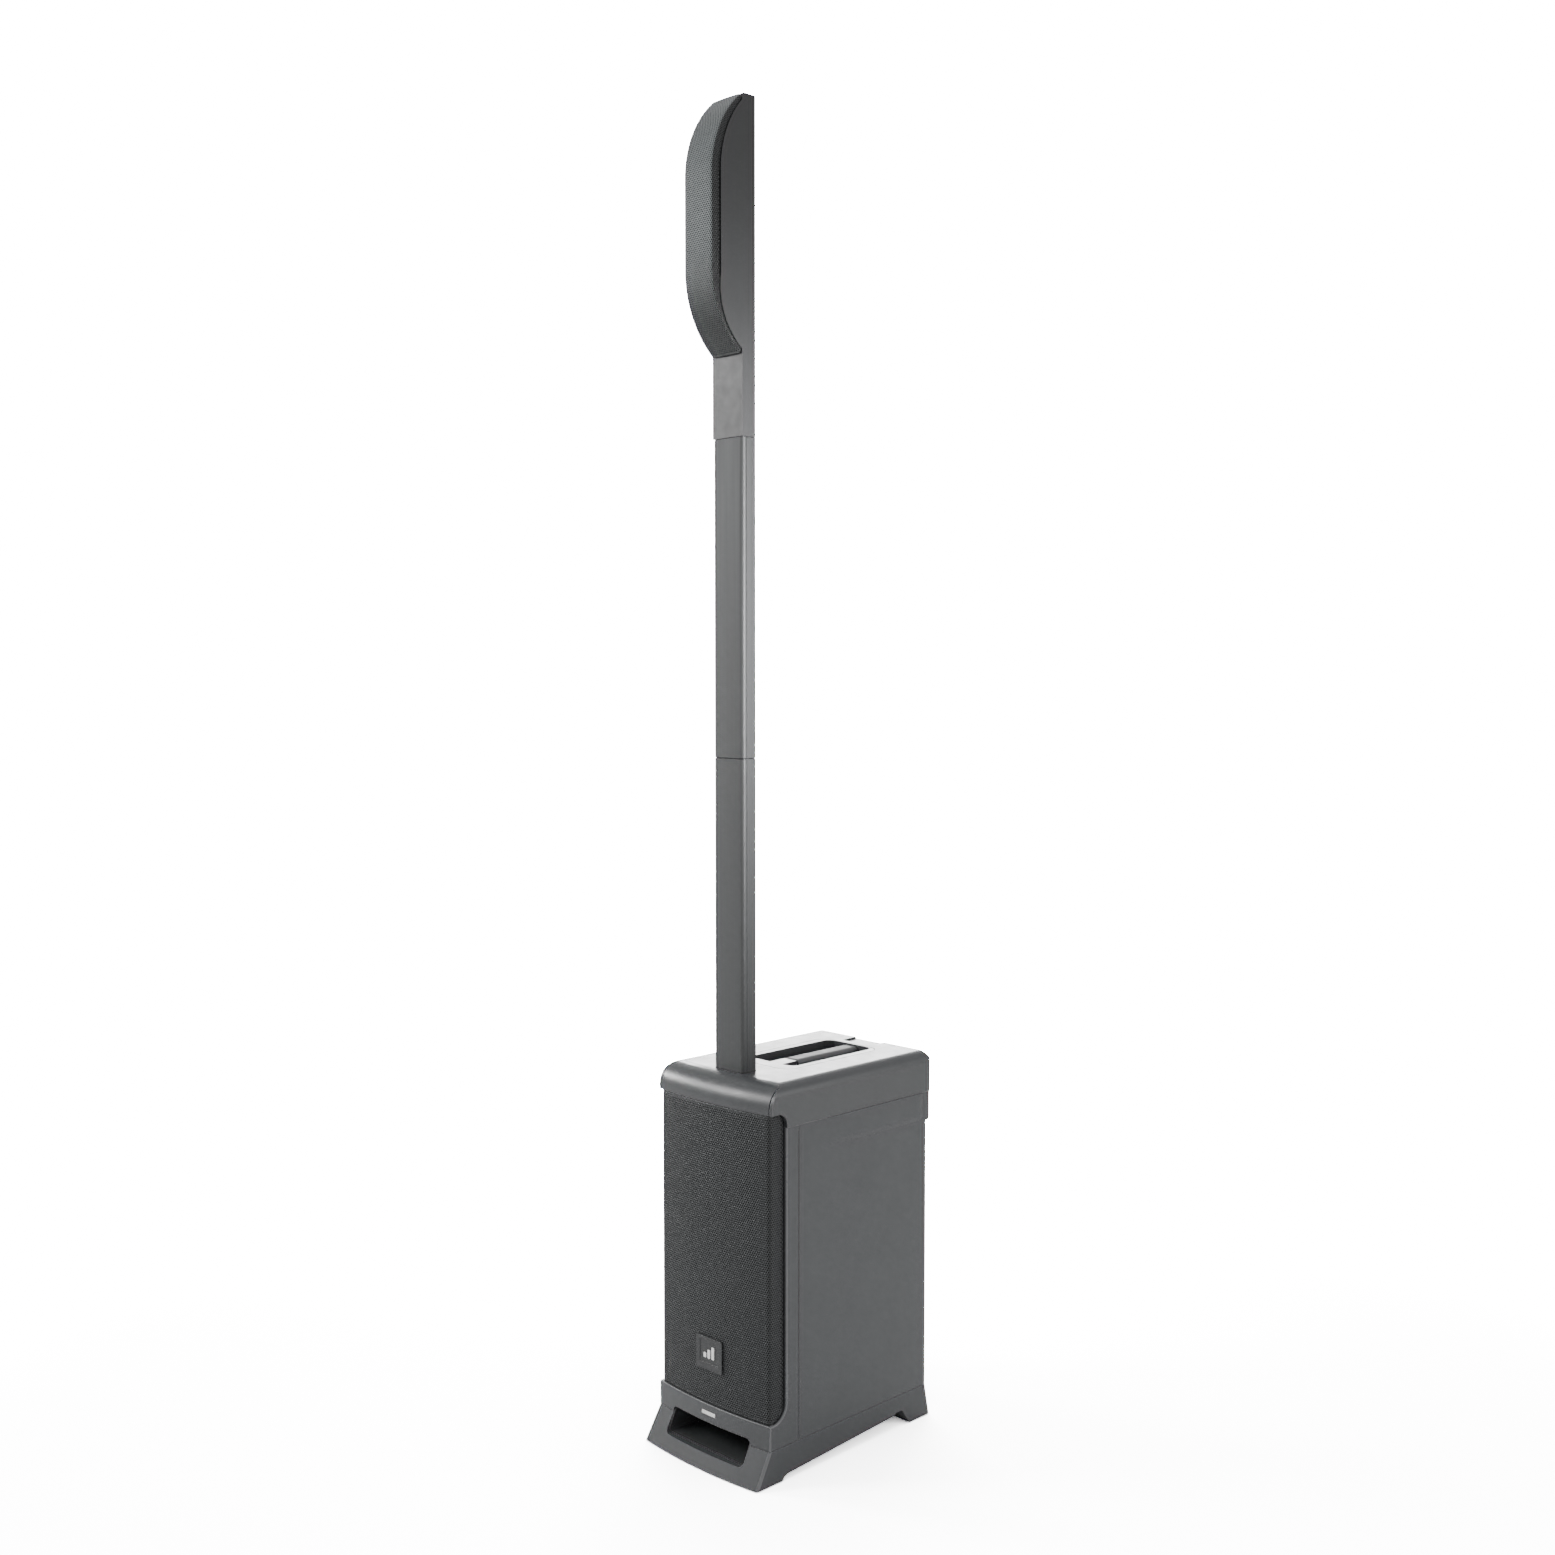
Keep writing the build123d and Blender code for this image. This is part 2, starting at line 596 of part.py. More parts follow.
with BuildPart() as woofer_surround:
    with BuildSketch(woofer_profile):
        with BuildLine():
            ThreePointArc((cone_radius + 0.6, -3), (cone_radius + 4.2, 1.8), (cone_radius + 8, flange_front))
            Line((cone_radius + 8, flange_front), (94, flange_front))
            Line((94, flange_front), (94, flange_front + 1.2))
            Line((94, flange_front + 1.2), (cone_radius + 7.4, flange_front + 1.2))
            ThreePointArc((cone_radius + 7.4, flange_front + 1.2), (cone_radius + 3.4, 2.6),
                          (cone_radius + 0.6, -1.6))
            Line((cone_radius + 0.6, -1.6), (cone_radius + 0.6, -3))
        make_face()
    revolve(axis=woofer_axis)
woofer_surround.part.label = "woofer_surround"
export_step(woofer_surround.part, "parts/woofer_surround.step")

with BuildPart() as woofer_spider:
    with BuildSketch(woofer_profile):
        with Locations(((coil_radius + 1.2 + 58) / 2, -53)):
            Rectangle(58 - coil_radius - 1.2, 1.0)
    revolve(axis=woofer_axis)
woofer_spider.part.label = "woofer_spider"
export_step(woofer_spider.part, "parts/woofer_spider.step")

with BuildPart() as woofer_gasket:
    with BuildSketch(woofer_plane.offset(flange_front)):
        Circle(woofer_radius - 2)
        Circle(95, mode=Mode.SUBTRACT)
        with PolarLocations(woofer_bolt_radius, 8, start_angle=22.5):
            Circle(5, mode=Mode.SUBTRACT)
    extrude(amount=2.5)
woofer_gasket.part.label = "woofer_gasket"
export_step(woofer_gasket.part, "parts/woofer_gasket.step")

with BuildPart() as woofer_screws:
    with BuildSketch(woofer_plane.offset(flange_front)):
        with PolarLocations(woofer_bolt_radius, 8, start_angle=22.5):
            Circle(4.2)
    extrude(amount=3)
    with BuildSketch(woofer_plane.offset(flange_front)):
        with PolarLocations(woofer_bolt_radius, 8, start_angle=22.5):
            Circle(2.1)
    extrude(amount=-flange_front - baffle_thickness)
woofer_screws.part.label = "woofer_screws"
export_step(woofer_screws.part, "parts/woofer_screws.step")

# ------------------------------------------------------------------ rear panel
rear_plane = Plane(origin=(0, panel_face_y, 0), x_dir=(-1, 0, 0), z_dir=(0, 1, 0))
# seen from behind: local x runs towards -X, local y up, local z out of the panel
encoder_place = (0, 372)
knob_places = [(-48, 318), (0, 318), (48, 318)]
button_places = {"menu_button": (-44, 372), "back_button": (44, 372)}
jack_places = [(-52, 256), (0, 256)]
output_place = (52, 256)
inlet_place = (-50, 160)
rocker_place = (44, 160)
display_place = (0, 432)
shaft_radius = 3.0
running_gap = 0.06
button_radius = 6.0
rocker_width = 14.0
rocker_height = 22.0
panel_bolts = [(x, z) for x in (-84, 84) for z in (132, 216, 300, 384, 468)]

with BuildPart() as rear_panel:
    with BuildSketch(rear_plane):
        with Locations((0, (panel_low_z + panel_high_z) / 2)):
            Rectangle(2 * panel_half_width, panel_high_z - panel_low_z)
        with Locations(encoder_place, *knob_places):
            Circle(shaft_radius + running_gap, mode=Mode.SUBTRACT)
        with Locations(*button_places.values()):
            Circle(button_radius + clearance, mode=Mode.SUBTRACT)
        with Locations(*jack_places, output_place):
            Circle(11.5, mode=Mode.SUBTRACT)
        with Locations(inlet_place):
            Rectangle(28, 20, mode=Mode.SUBTRACT)
        with Locations(rocker_place):
            Rectangle(rocker_width + 2, rocker_height + 2, mode=Mode.SUBTRACT)
        with Locations(*panel_bolts):
            Circle(1.8, mode=Mode.SUBTRACT)
    extrude(amount=-panel_thickness)
rear_panel.part.label = "rear_panel"
export_step(rear_panel.part, "parts/rear_panel.step")

with BuildPart() as panel_screws:
    with BuildSketch(rear_plane):
        with Locations(*panel_bolts):
            Circle(3.4)
    extrude(amount=2.0)
    with BuildSketch(rear_plane):
        with Locations(*panel_bolts):
            Circle(1.8)
    extrude(amount=-panel_thickness)
panel_screws.part.label = "panel_screws"
export_step(panel_screws.part, "parts/panel_screws.step")

with BuildPart() as display_window:
    with BuildSketch(rear_plane):
        with Locations(display_place):
            RectangleRounded(70, 42, 4)
    extrude(amount=1.6)
display_window.part.label = "display_window"
export_step(display_window.part, "parts/display_window.step")


def turned_knob(place, radius, height):
    """Knob on its shaft, with a skirt and a pointer rib, standing on the rear panel."""
    centre = rear_plane.from_local_coords((place[0], place[1], 0))
    knob_plane = Plane(origin=centre, x_dir=(-1, 0, 0), z_dir=(0, 1, 0))
    with BuildPart() as knob:
        with BuildSketch(knob_plane.offset(-panel_thickness - 6)):
            Circle(shaft_radius)
        extrude(amount=panel_thickness + 7)
        with BuildSketch(knob_plane.offset(0.6)):
            Circle(radius)
        extrude(amount=2)
        with BuildSketch(knob_plane.offset(2.6)):
            Circle(radius - 1.5)
        extrude(amount=height - 2.6)
        chamfer(knob.faces().sort_by(Axis.Y)[-1].edges(), 0.8)
        with BuildSketch(knob_plane.offset(height)):
            with Locations((0, radius / 2)):
                Rectangle(1.4, radius - 5)
        extrude(amount=0.5)
    return knob.part


main_encoder = turned_knob(encoder_place, 19, 14)
main_encoder.label = "main_encoder"
export_step(main_encoder, "parts/main_encoder.step")

for number, place in enumerate(knob_places, start=1):
    level_knob = turned_knob(place, 11, 13)
    level_knob.label = f"level_knob_{number}"
    export_step(level_knob, f"parts/level_knob_{number}.step")

for name, place in button_places.items():
    with BuildPart() as push_button:
        with BuildSketch(rear_plane.offset(3.0)):
            with Locations(place):
                Circle(button_radius)
        extrude(amount=-10)
        chamfer(push_button.faces().sort_by(Axis.Y)[-1].edges(), 0.8)
        with BuildSketch(rear_plane.offset(-panel_thickness - clearance)):
            with Locations(place):
                Circle(button_radius + 1.5)
        extrude(amount=-2)
    push_button.part.label = name
    export_step(push_button.part, f"parts/{name}.step")

for number, place in enumerate(jack_places, start=1):
    with BuildPart() as jack:
        with BuildSketch(rear_plane):
            with Locations(place):
                RectangleRounded(27, 32, 4)
                Circle(9.5, mode=Mode.SUBTRACT)
        extrude(amount=2.0)
        with BuildSketch(rear_plane):
            with Locations(place):
                Circle(11.5)
                Circle(9.5, mode=Mode.SUBTRACT)
        extrude(amount=-20)
        with BuildSketch(rear_plane.offset(-20)):
            with Locations(place):
                Circle(11.5)
        extrude(amount=-3)
        with BuildSketch(rear_plane.offset(-20)):
            with Locations(place):
                Circle(6.5)
                Circle(3.4, mode=Mode.SUBTRACT)
        extrude(amount=6)
    jack.part.label = f"combo_jack_{number}"
    export_step(jack.part, f"parts/combo_jack_{number}.step")

with BuildPart() as line_output:
    with BuildSketch(rear_plane):
        with Locations(output_place):
            RectangleRounded(27, 32, 4)
            Circle(9.5, mode=Mode.SUBTRACT)
    extrude(amount=2.0)
    with BuildSketch(rear_plane):
        with Locations(output_place):
            Circle(11.5)
            Circle(9.5, mode=Mode.SUBTRACT)
    extrude(amount=-16)
    with BuildSketch(rear_plane.offset(-16)):
        with Locations(output_place):
            Circle(11.5)
    extrude(amount=-3)
    with BuildSketch(rear_plane.offset(-16)):
        with Locations(output_place):
            with PolarLocations(4.5, 3, start_angle=-90):
                Circle(1.2)
    extrude(amount=7)
line_output.part.label = "line_output"
export_step(line_output.part, "parts/line_output.step")

with BuildPart() as power_inlet:
    with BuildSketch(rear_plane):
        with Locations(inlet_place):
            RectangleRounded(48, 30, 3)
            Rectangle(24, 16, mode=Mode.SUBTRACT)
    extrude(amount=2.4)
    with BuildSketch(rear_plane):
        with Locations(inlet_place):
            Rectangle(28, 20)
            Rectangle(24, 16, mode=Mode.SUBTRACT)
    extrude(amount=-16)
    with BuildSketch(rear_plane.offset(-16)):
        with Locations(inlet_place):
            Rectangle(28, 20)
    extrude(amount=-3)
    with BuildSketch(rear_plane.offset(-16)):
        with Locations(inlet_place):
            with Locations((-7, -2), (0, 3), (7, -2)):
                Rectangle(2, 5)
    extrude(amount=7)
power_inlet.part.label = "power_inlet"
export_step(power_inlet.part, "parts/power_inlet.step")

with BuildPart() as power_rocker:
    rocker_centre = rear_plane.from_local_coords((rocker_place[0], rocker_place[1], -4))
    with BuildSketch(Plane(origin=rocker_centre, x_dir=(0, 1, 0), z_dir=(1, 0, 0))):
        # the face is a shallow V whose upper half stands proud while the switch is off
        with BuildLine():
            Polyline((-5, -8), (2, -10.2), (5.0, -10.6), (6.2, 0), (8.4, 10.2), (2, 10.6), (-5, 8), (-5, -8))
        make_face()
    extrude(amount=rocker_width / 2, both=True)
power_rocker.part.label = "power_rocker"
export_step(power_rocker.part, "parts/power_rocker.step")

# ------------------------------------------------------------------ electronics inside
with BuildPart() as heatsink:
    with BuildSketch(rear_plane.offset(-panel_thickness)):
        with Locations((0, 205)):
            Rectangle(150, 40)
    extrude(amount=-5)
    with BuildSketch(rear_plane.offset(-panel_thickness - 5)):
        with Locations((0, 205)):
            with GridLocations(9, 40, 16, 1):
                Rectangle(2, 40)
    extrude(amount=-28)
heatsink.part.label = "heatsink"
export_step(heatsink.part, "parts/heatsink.step")

with BuildPart() as amplifier_board:
    with BuildSketch(rear_plane.offset(-30)):
        with Locations((0, 340)):
            Rectangle(170, 150)
    extrude(amount=-1.6)
    with BuildSketch(rear_plane.offset(-31.6)):
        with Locations((-55, 380), (-20, 380), (20, 380), (55, 380)):
            Circle(9)
        with Locations((-40, 310), (40, 310)):
            Rectangle(34, 26)
    extrude(amount=-16)
    # posts to the panel
    with BuildSketch(rear_plane.offset(-30)):
        with Locations((-78, 272), (78, 272), (-78, 408), (78, 408)):
            Circle(3)
    extrude(amount=30 - panel_thickness)
amplifier_board.part.label = "amplifier_board"
export_step(amplifier_board.part, "parts/amplifier_board.step")

with BuildPart() as power_supply:
    with Locations((0, 100, floor_top_z + 5)):
        Box(160, 110, 4)
    with Locations((-45, 100, floor_top_z + 7 + 22)):
        Cylinder(32, 44)
    with Locations((40, 118, floor_top_z + 7 + 14)):
        Box(50, 50, 28)
    with Locations((22, 68, floor_top_z + 7 + 16), (58, 68, floor_top_z + 7 + 16)):
        Cylinder(12, 32)
    with Locations(*[(x, y, floor_top_z + 1.5) for x in (-74, 74) for y in (50, 150)]):
        Cylinder(3, 3)
power_supply.part.label = "power_supply"
export_step(power_supply.part, "parts/power_supply.step")

# ------------------------------------------------------------------ column sections
tongue_width = column_bore_width - 2 * clearance
tongue_depth = column_bore_depth - 2 * clearance
tongue_corner = column_radius - column_wall - clearance
column_sections = {
    "column_lower": (column_seat_z + clearance, lower_joint_z),
    "column_upper": (lower_joint_z + clearance, upper_joint_z),
}

for name, (low_z, high_z) in column_sections.items():
    with BuildPart() as tube:
        with BuildSketch(Plane.XY.offset(low_z)):
            with Locations((0, column_y)):
                RectangleRounded(column_width, column_depth, column_radius)
                RectangleRounded(column_bore_width, column_bore_depth, column_radius - column_wall,
                                 mode=Mode.SUBTRACT)
        extrude(amount=high_z - low_z)
        chamfer(tube.edges().group_by(Axis.Z)[-1].group_by(SortBy.LENGTH)[-1], 0.4)
    tube.part.label = name
    export_step(tube.part, f"parts/{name}.step")

tongues = {
    "lower_tongue": column_seat_z + clearance,
    "upper_tongue": lower_joint_z + clearance,
    "array_tongue": upper_joint_z + clearance,
}
for name, foot_z in tongues.items():
    with BuildPart() as tongue:
        with BuildSketch(Plane.XY.offset(foot_z)):
            with Locations((0, column_y)):
                RectangleRounded(column_bore_width, column_bore_depth, column_radius - column_wall)
        extrude(amount=tongue_root)
        with BuildSketch(Plane.XY.offset(foot_z)):
            with Locations((0, column_y)):
                RectangleRounded(tongue_width, tongue_depth, tongue_corner)
        extrude(amount=-tongue_length)
        chamfer(tongue.edges().group_by(Axis.Z)[0], 1.5)
    tongue.part.label = name
    export_step(tongue.part, f"parts/{name}.step")

# ------------------------------------------------------------------ line array
array_wall = 3.0
cavity_low_z = 1723.0
cavity_high_z = 2094.0

with BuildPart() as array_housing:
    with BuildSketch(side_view):
        add(array_housing_outline())
    extrude(amount=array_half_width, both=True)
    fillet(array_housing.edges().filter_by(Axis.Z).group_by(Axis.Y)[-1], column_radius)
    # D-shaped chamber, open at the front
    with Locations((0, array_back_y - array_wall - 75, (cavity_low_z + cavity_high_z) / 2)):
        Box(2 * (array_half_width - array_wall), 150, cavity_high_z - cavity_low_z, mode=Mode.SUBTRACT)
    # bore of the stub
    with BuildSketch(Plane.XY.offset(upper_joint_z)):
        with Locations((0, column_y)):
            RectangleRounded(column_bore_width, column_bore_depth, column_radius - column_wall)
    extrude(amount=cavity_low_z + 10 - upper_joint_z, mode=Mode.SUBTRACT)
array_housing.part.label = "array_housing"
export_step(array_housing.part, "parts/array_housing.step")

# corners of the faceted baffle, from the bottom to the top, one driver to a facet
facet_corners = [(-136, 1725), (-163, 1764), (-174.5, 1811), (-175.5, 1860), (-175.5, 1909), (-175.5, 1958),
                 (-168.5, 2006), (-149, 2050), (-117, 2086)]
facet_planes = []
for (low_y, low_z), (high_y, high_z) in zip(facet_corners, facet_corners[1:]):
    length = hypot(high_y - low_y, high_z - low_z)
    along = Vector(0, (high_y - low_y) / length, (high_z - low_z) / length)
    outward = Vector(1, 0, 0).cross(along)
    middle = (0, (low_y + high_y) / 2, (low_z + high_z) / 2)
    facet_planes.append(Plane(origin=middle, x_dir=(1, 0, 0), z_dir=outward))

baffle_half_width = array_half_width - array_wall
with BuildPart() as array_baffle:
    with BuildSketch(side_view):
        with BuildLine():
            inner_corners = [(y + array_baffle_thickness + 0.6, z) for y, z in reversed(facet_corners[1:-1])]
            Polyline(*facet_corners, (-114.7, 2083.9), *inner_corners, (-133.4, 1726.8), facet_corners[0])
        make_face()
    extrude(amount=baffle_half_width, both=True)
    for plane in facet_planes:
        with BuildSketch(plane.offset(2)):
            Circle(driver_radius - 3)
        extrude(amount=-10, mode=Mode.SUBTRACT)
array_baffle.part.label = "array_baffle"
export_step(array_baffle.part, "parts/array_baffle.step")

with BuildPart() as array_grille:
    with BuildSketch(side_view):
        add(array_grille_outline())
        add(array_housing_outline(), mode=Mode.SUBTRACT)
    extrude(amount=array_grille_half_width, both=True)
    with BuildSketch(side_view):
        offset(array_grille_outline(), amount=-2.0, kind=Kind.INTERSECTION)
    extrude(amount=array_grille_half_width - 2.0, both=True, mode=Mode.SUBTRACT)
array_grille.part.label = "array_grille"
export_step(array_grille.part, "parts/array_grille.step")

for number, plane in enumerate(facet_planes, start=1):
    back = plane.offset(-array_baffle_thickness - 0.9)
    with BuildPart() as driver:
        with BuildSketch(back):
            Circle(driver_radius - 0.4)
            Circle(driver_radius - 3.4, mode=Mode.SUBTRACT)
        extrude(amount=-1.6)
        with BuildSketch(back.offset(-1.6)):
            Circle(driver_radius - 2.4)
            Circle(driver_radius - 3.4, mode=Mode.SUBTRACT)
        extrude(amount=-6)
        with BuildSketch(back.offset(-7.6)):
            Circle(driver_radius - 2.4)
            Circle(8, mode=Mode.SUBTRACT)
        extrude(amount=-1.6)
        with BuildSketch(back.offset(-9.2)):
            Circle(12)
        extrude(amount=-7)
    driver.part.label = f"array_driver_{number}"
    export_step(driver.part, f"parts/array_driver_{number}.step")

with BuildPart() as array_cones:
    for plane in facet_planes:
        cone_profile = Plane(origin=plane.origin, x_dir=(1, 0, 0), z_dir=plane.x_dir.cross(plane.z_dir))
        with BuildSketch(cone_profile):
            with BuildLine():
                Polyline((0, -9.5), (6, -10.5), (17.5, -4.8), (19.3, -4.8), (19.3, -5.6), (17.5, -5.6),
                         (6, -11.4), (0, -10.5), (0, -9.5))
            make_face()
        revolve(axis=Axis(plane.origin, plane.z_dir))
array_cones.part.label = "array_cones"
export_step(array_cones.part, "parts/array_cones.step")
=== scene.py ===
"""A column PA speaker in a pale studio: subwoofer cabinet, two column sections and a curved array.

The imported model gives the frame.  Thin, perforated and moulded parts are rebuilt here as surfaces
worked out on grids, in metres, and every finish is a procedural material."""

from math import cos, pi, radians, sin, sqrt

import bmesh
import bpy
import numpy as np
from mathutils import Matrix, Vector


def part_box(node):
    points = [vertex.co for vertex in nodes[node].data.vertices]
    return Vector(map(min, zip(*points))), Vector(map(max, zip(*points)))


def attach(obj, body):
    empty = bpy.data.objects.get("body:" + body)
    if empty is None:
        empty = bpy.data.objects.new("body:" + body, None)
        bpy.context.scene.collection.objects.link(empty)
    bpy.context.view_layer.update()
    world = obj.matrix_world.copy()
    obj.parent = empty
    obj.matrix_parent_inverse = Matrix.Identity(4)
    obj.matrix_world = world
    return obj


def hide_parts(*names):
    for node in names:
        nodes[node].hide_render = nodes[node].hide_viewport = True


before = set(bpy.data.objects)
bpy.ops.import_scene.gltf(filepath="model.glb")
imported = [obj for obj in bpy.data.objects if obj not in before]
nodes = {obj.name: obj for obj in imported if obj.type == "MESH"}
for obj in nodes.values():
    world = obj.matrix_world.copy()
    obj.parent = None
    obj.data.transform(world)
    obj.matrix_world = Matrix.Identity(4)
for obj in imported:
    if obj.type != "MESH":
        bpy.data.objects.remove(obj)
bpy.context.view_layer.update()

mm = 0.001
world_light = 0.72      # strength of the white surroundings
world_glare = 16.0      # extra strength where they are seen directly
studio_wash = 10.0      # brightness of the floor near the object where it is seen directly
wall_wash = 40.0        # the same far from the object


# ------------------------------------------------------------------ camera, floor and light
def aim(thing, target):
    """Turns a camera or a light so that it looks at target."""
    direction = Vector(target) - thing.location
    thing.rotation_euler = direction.to_track_quat("-Z", "Y").to_euler()


def add_camera():
    """Eye-level three-quarter view of the front and the right-hand side."""
    turn = radians(45.18)
    dip = radians(3.35)
    camera_data = bpy.data.cameras.new("camera")
    camera_data.sensor_width = 36.0
    camera_data.lens = 39.91
    camera_data.clip_end = 100.0
    camera = bpy.data.objects.new("camera", camera_data)
    bpy.context.scene.collection.objects.link(camera)
    camera.location = (1.940, -1.954, 1.226)
    ahead = Vector((-sin(turn) * cos(dip), cos(turn) * cos(dip), -sin(dip)))
    aim(camera, camera.location + ahead)
    bpy.context.scene.camera = camera


def soft_light(name, place, target, width, height, watts):
    """Rectangular soft box at place, facing target."""
    light_data = bpy.data.lights.new(name, "AREA")
    light_data.shape = "RECTANGLE"
    light_data.size = width
    light_data.size_y = height
    light_data.energy = watts
    light = bpy.data.objects.new(name, light_data)
    bpy.context.scene.collection.objects.link(light)
    light.location = place
    aim(light, target)
    return light


def add_studio():
    """Pale seamless floor that curves up into a wall behind the object, and plain soft light."""
    front_end, bend_start, bend_radius, wall_top = -9.0, 5.0, 2.5, 9.0
    bend = np.linspace(0.1, pi / 2, 16)
    along = np.concatenate([np.linspace(front_end, bend_start, 12), bend_start + bend_radius * np.sin(bend),
                            [bend_start + bend_radius]])
    up = np.concatenate([np.zeros(12), bend_radius - bend_radius * np.cos(bend), [wall_top]])
    across = np.linspace(-12.0, 12.0, 13)
    turn = radians(45.0)
    grid_along, grid_across = np.meshgrid(along, across, indexing="ij")
    grid_up = np.repeat(up[:, None], across.size, axis=1)
    x = -sin(turn) * grid_along + cos(turn) * grid_across
    y = cos(turn) * grid_along + sin(turn) * grid_across
    points = np.stack([x, y, grid_up], axis=-1)
    floor = grid_piece("studio_floor", points)
    floor.data.materials.append(studio_material())
    world = bpy.data.worlds.new("studio")
    bpy.context.scene.world = world
    world.use_nodes = True
    background = world.node_tree.nodes["Background"]
    background.inputs["Color"].default_value = (1.0, 1.0, 1.0, 1.0)
    seen = world.node_tree.nodes.new("ShaderNodeLightPath").outputs["Is Camera Ray"]
    glare = math_node(world.node_tree, "MULTIPLY", seen, world_glare)
    strength = math_node(world.node_tree, "ADD", glare, world_light)
    world.node_tree.links.new(strength, background.inputs["Strength"])
    soft_light("key", (-2.0, -2.2, 2.15), (0.0, -0.12, 1.80), 0.9, 1.2, 48)
    soft_light("top", (0.2, 0.4, 3.6), (0.0, 0.0, 0.4), 2.4, 2.4, 30)
    soft_light("side", (3.0, 1.6, 1.3), (0.0, 0.0, 0.6), 1.6, 2.0, 26)
    behind = soft_light("behind", (-1.9, 1.95, 1.30), (0.0, 0.0, 0.62), 2.6, 0.6, 95)
    behind.visible_camera = False
    nose = soft_light("nose", (-2.6, -1.05, 1.45), (-0.05, -0.165, 0.58), 0.7, 0.5, 2.2)
    nose.data.spread = pi / 5
    beside = soft_light("beside", (2.5, 0.1, 1.45), (0.0, -0.12, 1.32), 0.5, 0.7, 5)
    beside.data.spread = pi / 9


# ------------------------------------------------------------------ mesh helpers
def link_piece(name, points, faces):
    """New mesh object at the origin from an (n, 3) array of points and an (m, 3 or 4) array of faces."""
    mesh = bpy.data.meshes.new(name)
    points = np.ascontiguousarray(points, dtype=np.float32)
    faces = np.ascontiguousarray(faces, dtype=np.int32)
    sides = faces.shape[1]
    mesh.vertices.add(len(points))
    mesh.vertices.foreach_set("co", points.ravel())
    mesh.loops.add(faces.size)
    mesh.loops.foreach_set("vertex_index", faces.ravel())
    mesh.polygons.add(len(faces))
    mesh.polygons.foreach_set("loop_start", np.arange(0, faces.size, sides, dtype=np.int32))
    mesh.update(calc_edges=True)
    mesh.validate()
    piece = bpy.data.objects.new(name, mesh)
    bpy.context.scene.collection.objects.link(piece)
    return piece


def grid_faces(rows, columns, close_rows=False, close_columns=False):
    """Quads of a rows by columns grid of points, wrapped round where a direction is closed."""
    i = np.arange(rows if close_rows else rows - 1)
    j = np.arange(columns if close_columns else columns - 1)
    i, j = np.meshgrid(i, j, indexing="ij")
    i2, j2 = (i + 1) % rows, (j + 1) % columns
    quads = [i * columns + j, i2 * columns + j, i2 * columns + j2, i * columns + j2]
    return np.stack(quads, axis=-1).reshape(-1, 4)


def grid_piece(name, points, close_rows=False, close_columns=False):
    """Surface through a (rows, columns, 3) array of points."""
    rows, columns = points.shape[:2]
    return link_piece(name, points.reshape(-1, 3), grid_faces(rows, columns, close_rows, close_columns))


def smooth(piece, angle=38.0):
    """Shades a piece smooth, except across edges sharper than angle."""
    mesh = piece.data
    mesh.polygons.foreach_set("use_smooth", np.ones(len(mesh.polygons), dtype=bool))
    mesh.set_sharp_from_angle(angle=radians(angle))
    return piece


def thicken(piece, thickness):
    """Gives a sheet its thickness, inwards from the face that it was drawn on."""
    wall = piece.modifiers.new("thickness", "SOLIDIFY")
    wall.thickness = thickness
    wall.offset = -1.0
    return piece


def second_finish(piece, material, chooser):
    """Second material on the faces whose centres satisfy chooser(x, y, z)."""
    mesh = piece.data
    centres = np.empty(len(mesh.polygons) * 3)
    mesh.polygons.foreach_get("center", centres)
    held = chooser(*centres.reshape(-1, 3).T)
    mesh.materials.append(material)
    mesh.polygons.foreach_set("material_index", held.astype(np.int32))
    return piece


def finish_piece(piece, material, body, replaced=()):
    """Gives a piece its material, the body that it rides on and the CAD nodes that it stands for."""
    piece.data.materials.append(material)
    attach(piece, body)
    if replaced:
        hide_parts(*replaced)
    return piece


def welded_copy(name, node):
    """Copy of a CAD node's mesh with its loose triangles joined and its flat areas made whole."""
    mesh = nodes[node].data.copy()
    mesh.name = name
    mesh.materials.clear()
    work = bmesh.new()
    work.from_mesh(mesh)
    bmesh.ops.remove_doubles(work, verts=work.verts, dist=2e-6)
    bmesh.ops.dissolve_limit(work, angle_limit=radians(0.6), verts=work.verts, edges=work.edges)
    work.to_mesh(mesh)
    work.free()
    piece = bpy.data.objects.new(name, mesh)
    bpy.context.scene.collection.objects.link(piece)
    return piece


def rounded_edges(piece, width, segments=2, angle=32.0):
    """Small round on every sharp edge, with the flat faces kept flat in the shading."""
    smooth(piece, 180.0)
    bevel = piece.modifiers.new("edge_round", "BEVEL")
    bevel.width = width
    bevel.segments = segments
    bevel.limit_method = "ANGLE"
    bevel.angle_limit = radians(angle)
    bevel.use_clamp_overlap = True
    bevel.miter_outer = "MITER_ARC"
    normals = piece.modifiers.new("flat_faces", "WEIGHTED_NORMAL")
    normals.weight = 80
    normals.keep_sharp = True
    return piece


